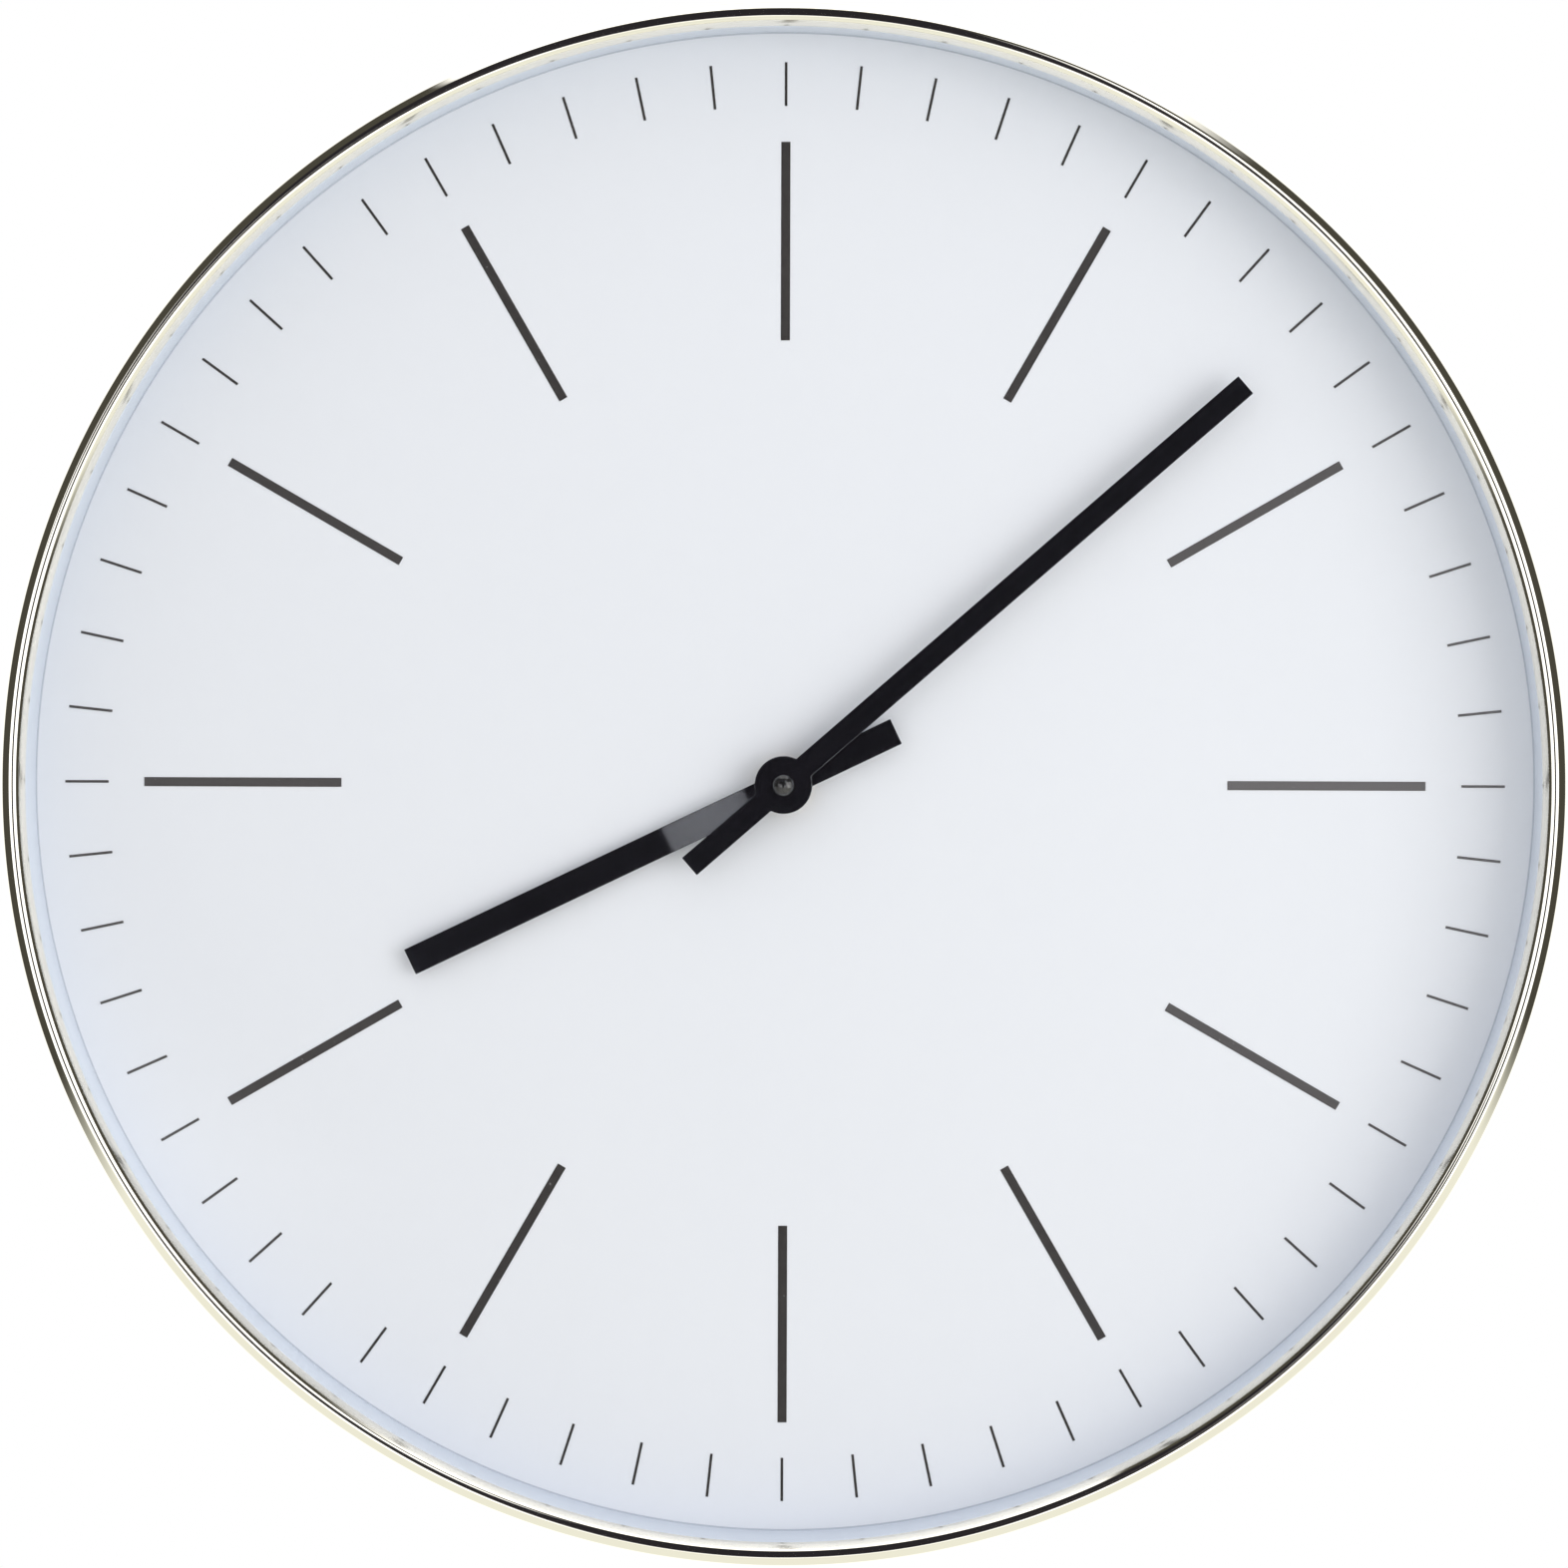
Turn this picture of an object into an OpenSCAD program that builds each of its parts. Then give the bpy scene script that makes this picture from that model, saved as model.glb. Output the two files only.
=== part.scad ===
// Round wall clock with a polished metal rim, a flat glass, a printed dial and a quartz movement.
// The face frame has x to the right, y up and z out of the wall, with z = 0 at the wall and the
// hands' axis at x = y = 0. on_wall() turns it upright: the front looks along -Y, +Z is up, and
// the origin is the hanging hole in the back, where the wall screw sits.

/* [Case] */
// Outside diameter of the metal rim
rim_d = 300; // [240:1:420]
// Free depth behind the movement, where its setting knob stands clear of the wall
rear_room = 4.2; // [3.8:0.1:20]
// Thickness of the sheet the rim is spun from
rim_wall = 1.2; // [0.8:0.1:1.6]
// Width of the rolled bead round the front of the rim
bead_w = 4.7; // [4:0.1:6]
// Height of the straight lip between the bead and the glass
lip_h = 0.65; // [0.2:0.05:2]
// Gap between the rim's inner wall and what it holds
case_gap = 0.4; // [0.2:0.1:0.6]
// Thickness of the rear case's back and side wall
pan_wall = 2.5; // [1.8:0.1:3.2]
// Thickness of the rear case's flange, which the rim stands on
pan_flange = 1.5; // [1:0.1:2.5]
// Number of stiffening ribs inside the rear case
rib_count = 12; // [8:1:20]
// Thickness of a rib
rib_t = 1.6; // [1.2:0.1:2.4]
// Number of screws that hold the rim to the rear case
rim_screw_count = 6; // [3:1:8]
// Thread diameter of a rim screw
rim_screw_d = 2.6; // [2:0.1:3]
// Head diameter of a rim screw
rim_screw_head_d = 4.6; // [4:0.1:5.4]
// Length of a rim screw
rim_screw_l = 6; // [5:0.5:8]
// Distance of the rim screws from the wall
rim_screw_z = 7; // [6:0.5:10]

/* [Glass and dial] */
// Thickness of the glass
glass_t = 2; // [1.5:0.1:3]
// Free height between the dial and the glass
face_gap = 12.5; // [9:0.1:20]
// Width of the spacer ring where it meets the dial
ring_w = 3.6; // [3:0.1:5]
// How much the spacer ring narrows towards the glass
ring_draft = 0.7; // [0.3:0.1:1]
// Thickness of the printed dial sheet
dial_t = 0.3; // [0.2:0.05:0.5]
// Thickness of the board behind the dial sheet
board_t = 3; // [2:0.1:4]
// Thickness of the printed ink
ink_t = 0.08; // [0.06:0.01:0.12]
// Free border between the minute marks and the spacer ring
mark_border = 5.7; // [4:0.1:8]
// Length of a minute mark
minute_mark_l = 8.4; // [6:0.1:10]
// Width of a minute mark
minute_mark_w = 0.5; // [0.4:0.05:0.8]
// Gap between an hour bar and the minute mark outside it
mark_gap = 6.9; // [4:0.1:9]
// Length of an hour bar
hour_mark_l = 38.2; // [25:0.1:42]
// Width of an hour bar
hour_mark_w = 1.75; // [1.2:0.05:3]

/* [Hands] */
// Hour the hands show
shown_hour = 8; // [0:1:11]
// Minute the hands show
shown_minute = 8.15; // [0:0.05:59.95]
// Small angle by which the hour hand was pressed on ahead of its true place
hour_hand_lead = 0.3; // [0:0.1:0.5]
// Distance the minute hand's tip stops short of the hour bars' outer ends
minute_hand_short = 6.3; // [3:0.1:12]
// Width of the minute hand
minute_hand_w = 4.4; // [3:0.1:6]
// Distance the hour hand's tip stops short of the hour bars' inner ends
hour_hand_short = 5.6; // [3:0.1:12]
// Width of the hour hand
hour_hand_w = 5.3; // [4:0.1:7]
// Length of both hands' tails behind the axis
hand_tail = 24; // [14:0.5:28]
// Thickness of the hands' sheet
hand_t = 0.6; // [0.4:0.05:0.8]
// Diameter of the disc round each hand's hole
hub_d = 11.1; // [9:0.1:13]
// Distance over which the hour hand's blade bends down towards the dial
bend_l = 20; // [12:0.5:24]
// Depth of that bend
bend_drop = 1.1; // [0.6:0.1:1.3]
// Wall of the cap over the end of the minute arbor
cap_wall = 0.4; // [0.3:0.05:0.8]

/* [Hanging] */
// Distance of the hanging hole in from the rim's outside
hanger_inset = 40; // [36:0.5:50]
// Diameter of the hanging hole, which passes the wall screw's head
hanger_hole_d = 9; // [7:0.1:10]
// Width of the slot above the hole, which holds the wall screw's neck
hanger_slot_w = 4.4; // [3.5:0.1:4.5]
// Height of that slot above the hole's centre
hanger_slot_h = 10; // [8:0.5:12]
// Width of the hanger plate
hanger_w = 44; // [40:1:60]
// Height of the hanger plate
hanger_h = 34; // [30:1:40]
// Thickness of the hanger plate
hanger_t = 1.2; // [1:0.1:1.4]
// Diameter of a hanger rivet
rivet_d = 3; // [2.5:0.1:4]

/* [Movement] */
// Least width inside the movement, over its gears
chamber_w = 53.6; // [53.6:0.1:70]
// Distance from the hands' axis up to the top of the gear chamber
chamber_rise = 26.8; // [26.8:0.1:36]
// Distance from the hands' axis down to the wall above the battery bay
chamber_drop = 10.9; // [10.4:0.1:16]
// Wall thickness of the movement's case
movement_wall = 1.2; // [1:0.1:1.4]
// Width of the finger gap between the movement and the rear case's window
window_gap = 5; // [4.2:0.1:8]
// Thickness of the rubber washer between the movement and the board
rubber_t = 1; // [0.8:0.1:2]
// Thickness of the brass washer under the nut
washer_t = 0.4; // [0.3:0.1:0.5]
// Wall of the hexagonal nut at its flats
nut_wall = 1.1; // [0.8:0.1:1.8]
// Height of the hexagonal nut
nut_h = 2; // [1.6:0.1:2.4]
// Wall of the threaded bushing
bushing_wall = 0.95; // [0.6:0.05:1.2]
// Wall of the hour pipe
pipe_wall = 0.75; // [0.5:0.05:1]
// Diameter of the minute arbor
minute_arbor_d = 3.4; // [2.8:0.05:4.2]
// Diameter of the pivots that the wheels turn on
pivot_d = 1; // [0.8:0.05:1.2]
// Radial clearance of every turning fit
run_gap = 0.05; // [0.03:0.01:0.08]
// Thickness of a wheel
wheel_t = 0.8; // [0.6:0.05:1]
// Diameter of the setting knob
knob_d = 12; // [9:0.1:15]
// Height of the setting knob
knob_h = 2.8; // [2:0.1:3]
// Number of grips round the setting knob
knob_grips = 20; // [12:1:28]
// Diameter of the rotor magnet
rotor_d = 5.4; // [4.5:0.1:6.6]

/* [Battery] */
// Diameter of the AA cell
cell_d = 14.5; // [12:0.1:18]
// Length of the AA cell, with its nub
cell_l = 50.5; // [42:0.1:62]
// Diameter of the cell's nub
nub_d = 5.5; // [4.5:0.1:7]
// Height of the cell's nub
nub_h = 1.3; // [1:0.1:1.6]
// Thickness of the cell's sleeve
sleeve_t = 0.3; // [0.2:0.05:0.4]
// Gap round the cell in its bay
cell_gap = 0.1; // [0.08:0.01:0.2]
// Travel left for the spring behind the cell
spring_bow = 2.1; // [1.6:0.1:3]
// Thickness of the contact strips
contact_t = 0.4; // [0.3:0.05:0.5]

/* [Hidden] */
$fn = 96;
// Overlap that joins shapes of one piece, and lets a cut run past its face
join = 0.05;

// Radii of the case, from the rim inwards
rim_r = rim_d / 2;
inside_r = rim_r - rim_wall - case_gap;
bead_r = bead_w / 2;
pan_r = inside_r - pan_wall;
dial_edge_r = inside_r - ring_w;
rim_screw_head_h = 1.2;
screw_gap = 0.2;
flange_inset = 0.3;

// Layers of the gear train, measured from the movement's back
rotor_pinion_rise = 3;
inter_rise = 3.4;
second_rise = 5.1;
stator_rise = 5.5;
third_rise = 6.8;
centre_rise = 8.6;
plate_rise = 10.1;
plate_t = 0.8;
hour_rise = plate_rise + plate_t + 2.5;
hour_wheel_t = 1;
layer_gap = 0.4;

// Depth of the movement: the gears or the cell, whichever is deeper
cell_rest = 0.1;
gear_depth = hour_rise + hour_wheel_t + layer_gap;
movement_t = movement_wall + max(gear_depth, cell_d + 2 * cell_gap + cell_rest);

// Heights from the wall, from the back forwards
mz = rear_room;
movement_front = mz + movement_t;
board_z = movement_front + rubber_t;
dial_z = board_z + board_t;
dial_top = dial_z + dial_t;
glass_z = dial_top + face_gap;
glass_top = glass_z + glass_t;
bead_z = glass_top + lip_h;
front_in = movement_front - movement_wall;
cover_top = mz + movement_wall;

// Tubes that pass through the dial, one inside the other
hour_pipe_d = minute_arbor_d + 2 * (run_gap + pipe_wall);
bushing_d = hour_pipe_d + 2 * (run_gap + bushing_wall);
nut_flats = bushing_d + 2 * nut_wall;
cap_d = minute_arbor_d + 2 * cap_wall;
bushing_hole_r = bushing_d / 2 + 0.2;

// The printed marks, measured in from the dial's visible edge
minute_mark_out = dial_edge_r - mark_border;
hour_mark_out = minute_mark_out - minute_mark_l - mark_gap;
hour_mark_in = hour_mark_out - hour_mark_l;

// Heights in front of the dial
nut_z = dial_top + washer_t;
bushing_top = nut_z + nut_h + 0.5;
hour_hand_z = bushing_top + 0.5;
hour_pipe_top = hour_hand_z + hand_t + 0.3;
minute_hand_z = hour_pipe_top + 1.2;
arbor_top = minute_hand_z + hand_t + 0.8;
hour_hand_reach = hour_mark_in - hour_hand_short;
minute_hand_reach = hour_mark_out - minute_hand_short;
minute_angle = 6 * shown_minute;
hour_angle = 30 * (shown_hour + shown_minute / 60) + hour_hand_lead;

// The movement's chambers: the battery bay below, the gears above
bay_l = 2 * contact_t + 2 * cell_gap + cell_l + spring_bow;
inner_half = max(chamber_w, bay_l) / 2;
chamber_top = chamber_rise;
chamber_y = -chamber_drop;
chamber_h = chamber_top - chamber_y;
bay_h = cell_d + 2 * cell_gap;
bay_y = chamber_y - movement_wall - bay_h;
bay_right = -inner_half + bay_l;
cell_r = cell_d / 2;
cell_y = bay_y + cell_gap + cell_r;
cell_z = front_in - cell_gap - cell_r;
contact_half_w = 4;
boss_r = 2.2;
boss_inset = boss_r + 0.2;
boss_hole_r = 0.8;
boss_x = inner_half - boss_inset;
boss_ys = [chamber_y + boss_inset, chamber_top - boss_inset];
boss_spots = [for (x = [-boss_x, boss_x], y = boss_ys) [x, y]];

// Outline of the movement's case on the hands' axis
movement_w = 2 * (inner_half + movement_wall);
movement_y = bay_y - movement_wall;
movement_h = chamber_top + movement_wall - movement_y;
movement_corner = 2;
pivot_r = pivot_d / 2;
pivot_hole_r = pivot_r + run_gap;
pivot_depth = 0.8;

// Teeth and tooth sizes (module) of each meshing pair; tips and roots are in modules
tooth_tip = 0.62;
tooth_root = 0.85;
root_wall = 0.1025;
centre_teeth = 60;
third_pinion_teeth = 8;
third_teeth = 64;
second_pinion_teeth = 8;
second_teeth = 50;
inter_pinion_teeth = 10;
inter_teeth = 48;
rotor_teeth = 8;
minute_teeth = 12;
day_teeth = 36;
day_pinion_teeth = 10;
hour_teeth = 40;
setting_teeth = 12;
train_span = 10.8;
centre_m = 2 * train_span / (centre_teeth + third_pinion_teeth);
third_m = 2 * train_span / (third_teeth + second_pinion_teeth);
second_m = 2 * train_span / (second_teeth + inter_pinion_teeth);
rotor_span = 8.4;
inter_m = 2 * rotor_span / (inter_teeth + rotor_teeth);
minute_m = (minute_arbor_d / 2 + root_wall) / (minute_teeth / 2 - tooth_root);
day_span = minute_m * (minute_teeth + day_teeth) / 2;
hour_m = 2 * day_span / (hour_teeth + day_pinion_teeth);
setting_span = minute_m * (day_teeth + setting_teeth) / 2;

// Directions from one wheel's axis to the next, and where the axes are
third_dir = 150;
inter_dir = 60;
rotor_dir = 30;
day_dir = 0;
setting_dir = -20;
function toward(angle, reach) = reach * [cos(angle), sin(angle)];
third_at = toward(third_dir, train_span);
inter_at = toward(inter_dir, train_span);
rotor_at = inter_at + toward(rotor_dir, rotor_span);
day_at = toward(day_dir, day_span);
setting_at = day_at + toward(setting_dir, setting_span);

// Turn of a gear so that its gap faces the tooth of the gear it meshes with
function mesh_turn(teeth, turn, dir, own_teeth) =
    dir + 180 + (0.5 - teeth * (turn - dir) / 360) * 360 / own_teeth;
third_pinion_turn = mesh_turn(centre_teeth, 0, third_dir, third_pinion_teeth);
second_pinion_turn = mesh_turn(third_teeth, 0, third_dir + 180, second_pinion_teeth);
inter_pinion_turn = mesh_turn(second_teeth, 0, inter_dir, inter_pinion_teeth);
rotor_turn = mesh_turn(inter_teeth, 0, rotor_dir, rotor_teeth);
day_turn = mesh_turn(minute_teeth, 0, day_dir, day_teeth);
hour_turn = mesh_turn(day_pinion_teeth, 0, day_dir + 180, hour_teeth);
setting_turn = mesh_turn(day_teeth, day_turn, setting_dir, setting_teeth);

// Heights of the gear layers from the wall
rotor_pinion_z = mz + rotor_pinion_rise;
inter_z = mz + inter_rise;
second_z = mz + second_rise;
third_z = mz + third_rise;
centre_z = mz + centre_rise;
plate_z = mz + plate_rise;
plate_top = plate_z + plate_t;
minute_pinion_z = plate_top + 0.3;
day_z = plate_top + layer_gap;
day_wheel_t = 1;
hour_z = mz + hour_rise;
minute_pinion_t = 1.4;
setting_shaft_r = 0.9;
knob_gap = 0.3;
seat_gap = 0.02;
knob_z = mz - knob_gap - knob_h;
post_r = 1.5;
post_hole_r = 0.6;
plate_screw_head_h = 0.7;
plate_posts = [[-inner_half + 6.8, chamber_y + 4.2], [inner_half - 4.8, 8], [-2, chamber_top - 9.8]];
pivot_bottom = cover_top - pivot_depth + 0.1;
pivot_top = front_in + pivot_depth - 0.2;
train_top = plate_top - 0.2;

// Coil and stator, in one plane behind the middle plate
stator_z = mz + stator_rise;
stator_t = 1;
core_w = 3.2;
coil_y = chamber_top - 4.2;
coil_l = 19;
coil_r = 3.6;
bobbin_r = 2.4;
flange_r = 3.9;
flange_t = 0.8;
leg_w = 2.6;
arm_y = 15.2;
arm_w = 2.4;
rotor_ring_w = 2.1;
rotor_air = 0.4;
rotor_hole_r = rotor_d / 2 + rotor_air;
leg_x = -inner_half + 2 * boss_inset + 0.3;
leg_right = rotor_at[0] + leg_w;
coil_x = leg_x + leg_w + 0.6;
stake_r = 0.7;
stake_foot_r = 1.1;
stake_end = 0.4;
stakes = [[leg_x + leg_w / 2, 19.4], [rotor_at[0], coil_y]];
board_x = -inner_half + 0.5;
board_y = chamber_y + 5.2;
board_w = 14.8;
board_h = 21.5;
board_rear = mz + 2.5;
pcb_t = 0.8;
pcb_front = board_rear + pcb_t;
board_post_r = 1;
board_posts = [[board_x + 2, board_y + 2], [board_x + 2, board_y + board_h - 2]];

// Hanger plate and its rivets, measured from the hanging hole
hanger_y = rim_r - hanger_inset;
hanger_gap = 0.2;
hanger_corner = 3;
keyhole_room = 1;
rivet_x = hanger_w / 2 - 6;
rivet_head_r = rivet_d * 0.85;
rivet_head_h = 0.8;

// Sets a piece drawn in the face frame upright on the wall
module on_wall() {
    translate([0, 0, -hanger_y]) rotate([90, 0, 0]) children();
}

module at(spot, z) {
    translate([spot[0], spot[1], z]) children();
}

module around(count) {
    for (i = [0 : count - 1]) rotate(i * 360 / count) children();
}

module tube(outer_r, inner_r, height) {
    difference() {
        cylinder(r = outer_r, h = height);
        translate([0, 0, -join]) cylinder(r = inner_r, h = height + 2 * join);
    }
}

module rounded_square(width, height, radius) {
    square([width - 2 * radius, height], center = true);
    square([width, height - 2 * radius], center = true);
    for (sx = [-1, 1], sy = [-1, 1])
        translate([sx * (width / 2 - radius), sy * (height / 2 - radius)]) circle(r = radius);
}

// Spur gear with short, slim teeth that run free at every angle
module gear(teeth, tooth_m, thickness, turn = 0) {
    pitch_r = tooth_m * teeth / 2;
    tip_r = pitch_r + tooth_tip * tooth_m;
    root_r = pitch_r - tooth_root * tooth_m;
    step = 360 / teeth;
    flank = [[root_r, -0.3], [pitch_r, -0.2], [tip_r, -0.09]];
    corners = concat(flank, [for (i = [2, 1, 0]) [flank[i][0], -flank[i][1]]]);
    rotate(turn) linear_extrude(height = thickness)
        polygon([for (i = [0 : teeth - 1], c = corners) toward((i + c[1]) * step, c[0])]);
}

// ---- Case ----

// Spun rim: a straight side wall whose front edge is rolled in over the glass
module case_rim() {
    color("wheat") on_wall() difference() {
        rotate_extrude($fn = 180) {
            translate([rim_r - rim_wall, pan_flange]) square([rim_wall, bead_z - pan_flange]);
            translate([rim_r - bead_r, bead_z]) half_ring(bead_r, bead_r - rim_wall);
            translate([rim_r - bead_w, glass_top]) square([rim_wall, lip_h]);
        }
        rim_screw_places() {
            translate([0, 0, -rim_screw_l]) cylinder(r = rim_screw_d / 2 + screw_gap, h = rim_screw_l + join);
            translate([0, 0, -rim_screw_head_h]) rim_screw_cone(join);
            translate([0, 0, -join]) cylinder(r = rim_screw_head_d / 2 + join, h = 4 * join);
        }
    }
}

// Upper half of a ring, with a little below its middle to join it on
module half_ring(outer_r, inner_r) {
    difference() {
        circle(r = outer_r);
        circle(r = inner_r);
        translate([-outer_r - join, -2 * outer_r - join]) square([2 * (outer_r + join), 2 * outer_r]);
    }
}

// Places a screw head's outer face at the rim's side, with the screw pointing inwards
module rim_screw_places() {
    head_r = rim_screw_head_d / 2;
    sink = rim_r - sqrt(rim_r * rim_r - head_r * head_r) + join;
    around(rim_screw_count) translate([rim_r - sink, 0, rim_screw_z]) rotate([0, 90, 0]) children();
}

module rim_screw_cone(extra) {
    cylinder(r1 = rim_screw_d / 2 + extra, r2 = rim_screw_head_d / 2 + extra, h = rim_screw_head_h);
}

module rim_screws() {
    shank_l = rim_screw_l - rim_screw_head_h;
    color("silver") on_wall() rim_screw_places() difference() {
        union() {
            translate([0, 0, -rim_screw_l]) cylinder(d = rim_screw_d, h = shank_l + join);
            translate([0, 0, -rim_screw_head_h]) rim_screw_cone(0);
        }
        cross_slot(rim_screw_head_d * 0.6, 0.5, 0.6);
    }
}

// Cross recess cut into a screw head whose top is at z = 0
module cross_slot(span, width, depth) {
    for (turn = [0, 90]) rotate(turn)
        translate([-span / 2, -width / 2, -depth]) cube([span, width, depth + join]);
}

module glass_lens() {
    color("azure", 0.4) on_wall() translate([0, 0, glass_z]) cylinder(r = inside_r, h = glass_t, $fn = 180);
}

// Tapered plastic ring that keeps the glass off the dial
module spacer_ring() {
    color("aliceblue") on_wall() rotate_extrude($fn = 180) polygon([
        [dial_edge_r, dial_top], [inside_r, dial_top],
        [inside_r, glass_z], [dial_edge_r + ring_draft, glass_z]
    ]);
}

// Box round the movement's case, wider by margin on each side
module movement_box(margin, z, height) {
    translate([-movement_w / 2 - margin, movement_y - margin, z])
        cube([movement_w + 2 * margin, movement_h + 2 * margin, height]);
}

// Rear case: a shallow pan with ribs and a window for the movement
module rear_case() {
    rib_in = movement_w / 2 + window_gap + pan_wall;
    rib_l = pan_r - rib_in + join;
    color("whitesmoke") on_wall() difference() {
        union() {
            difference() {
                cylinder(r = inside_r, h = board_z, $fn = 180);
                translate([0, 0, pan_wall]) cylinder(r = pan_r, h = board_z, $fn = 180);
            }
            cylinder(r = rim_r - flange_inset, h = pan_flange, $fn = 180);
            movement_box(window_gap + pan_wall, 0, board_z);
            translate([0, 0, pan_wall - join]) around(rib_count) rotate(180 / rib_count)
                translate([rib_in, -rib_t / 2, 0]) cube([rib_l, rib_t, board_z - pan_wall + join]);
        }
        movement_box(window_gap, -join, board_z + 2 * join);
        rim_screw_places() translate([0, 0, -rim_screw_l]) cylinder(d = rim_screw_d, h = rim_screw_l);
        translate([0, hanger_y, -join]) hanger_pocket();
    }
}

// Recess for the hanger plate, and the room behind its keyhole for the wall screw's head
module hanger_pocket() {
    depth = pan_wall + 2 * join;
    hole_r = hanger_hole_d / 2 + keyhole_room;
    linear_extrude(height = hanger_t + join) rounded_square(hanger_w, hanger_h, hanger_corner);
    cylinder(r = hole_r + 1, h = depth);
    translate([0, hanger_slot_h, 0]) cylinder(r = hole_r, h = depth);
    translate([-hole_r, 0, 0]) cube([2 * hole_r, hanger_slot_h, depth]);
    rivet_places() cylinder(d = rivet_d, h = depth);
}

module rivet_places() {
    for (side = [-1, 1]) translate([side * rivet_x, 0, 0]) children();
}

// Steel plate with the keyhole that hangs on the wall screw
module hanger_plate() {
    depth = hanger_t + 2 * join;
    plate_w = hanger_w - 2 * hanger_gap;
    plate_h = hanger_h - 2 * hanger_gap;
    color("lightsteelblue") on_wall() translate([0, hanger_y, 0]) difference() {
        linear_extrude(height = hanger_t) rounded_square(plate_w, plate_h, hanger_corner - hanger_gap);
        translate([0, 0, -join]) cylinder(d = hanger_hole_d, h = depth);
        translate([0, hanger_slot_h, -join]) cylinder(d = hanger_slot_w, h = depth);
        translate([-hanger_slot_w / 2, 0, -join]) cube([hanger_slot_w, hanger_slot_h, depth]);
        rivet_places() translate([0, 0, -join]) cylinder(d = rivet_d, h = depth);
    }
}

module hanger_rivets() {
    color("silver") on_wall() translate([0, hanger_y, 0]) rivet_places() {
        cylinder(d = rivet_d, h = pan_wall + rivet_head_h / 2);
        translate([0, 0, pan_wall]) cylinder(r = rivet_head_r, h = rivet_head_h);
    }
}

// ---- Dial ----

module bar_mark(inner, length, width) {
    translate([-width / 2, inner, dial_top]) cube([width, length, ink_t]);
}

module hour_marks() {
    color("dimgray") on_wall() around(12) bar_mark(hour_mark_in, hour_mark_l, hour_mark_w);
}

module minute_marks() {
    color("dimgray") on_wall() around(60)
        bar_mark(minute_mark_out - minute_mark_l, minute_mark_l, minute_mark_w);
}

module dial_face() {
    color("white") on_wall() translate([0, 0, dial_z]) tube(inside_r, bushing_hole_r, dial_t, $fn = 180);
}

module dial_board() {
    color("burlywood") on_wall() translate([0, 0, board_z])
        tube(inside_r, bushing_hole_r, board_t, $fn = 180);
}

// ---- Movement case ----

// Front half of the movement's case, with the bushing the hands pass through
module movement_case() {
    cut_h = front_in - mz + join;
    post_top = front_in + join;
    color("dimgray") on_wall() difference() {
        union() {
            difference() {
                translate([0, movement_y + movement_h / 2, mz]) linear_extrude(height = movement_t)
                    rounded_square(movement_w, movement_h, movement_corner);
                translate([-inner_half, chamber_y, mz - join]) cube([2 * inner_half, chamber_h, cut_h]);
                translate([-inner_half, bay_y, mz - join]) cube([bay_l, bay_h, cut_h]);
            }
            translate([0, 0, movement_front - join])
                cylinder(d = bushing_d, h = bushing_top - movement_front + join);
            for (spot = boss_spots) at(spot, cover_top) cylinder(r = boss_r, h = post_top - cover_top);
            for (spot = plate_posts) at(spot, plate_top) cylinder(r = post_r, h = post_top - plate_top);
        }
        for (spot = boss_spots) at(spot, cover_top - join) cylinder(r = boss_hole_r, h = 7);
        for (spot = plate_posts) at(spot, plate_top - join) cylinder(r = post_hole_r, h = 3);
        translate([0, 0, front_in - join])
            cylinder(r = hour_pipe_d / 2 + run_gap, h = bushing_top - front_in + 2 * join);
        for (spot = [day_at, setting_at])
            at(spot, front_in - join) cylinder(r = pivot_hole_r, h = pivot_depth + join);
    }
}

// Back plate of the gear chamber, held by four screws
module movement_cover() {
    edge = 0.1;
    seat_h = 0.5;
    post_h = board_rear - cover_top + join;
    color("gray") on_wall() difference() {
        union() {
            translate([-inner_half + edge, chamber_y + edge, mz])
                cube([2 * (inner_half - edge), chamber_h - 2 * edge, movement_wall]);
            for (spot = board_posts) at(spot, cover_top - join) cylinder(r = board_post_r, h = post_h);
        }
        for (spot = boss_spots) {
            at(spot, mz - join) cylinder(r = boss_hole_r + 0.3, h = movement_wall + 2 * join);
            at(spot, mz - join) cylinder(r = boss_r, h = seat_h + join);
        }
        for (spot = [[0, 0], third_at, inter_at, rotor_at])
            at(spot, cover_top - pivot_depth) cylinder(r = pivot_hole_r, h = pivot_depth + join);
        at(setting_at, mz - join) cylinder(r = setting_shaft_r + run_gap, h = movement_wall + 2 * join);
    }
}

module cover_screws() {
    head_h = 0.5;
    color("silver") on_wall() for (spot = boss_spots) at(spot, mz) difference() {
        union() {
            cylinder(r = boss_r - 0.2, h = head_h);
            cylinder(r = boss_hole_r, h = 6);
        }
        mirror([0, 0, 1]) cross_slot(2.4, 0.5, 0.35);
    }
}

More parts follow.
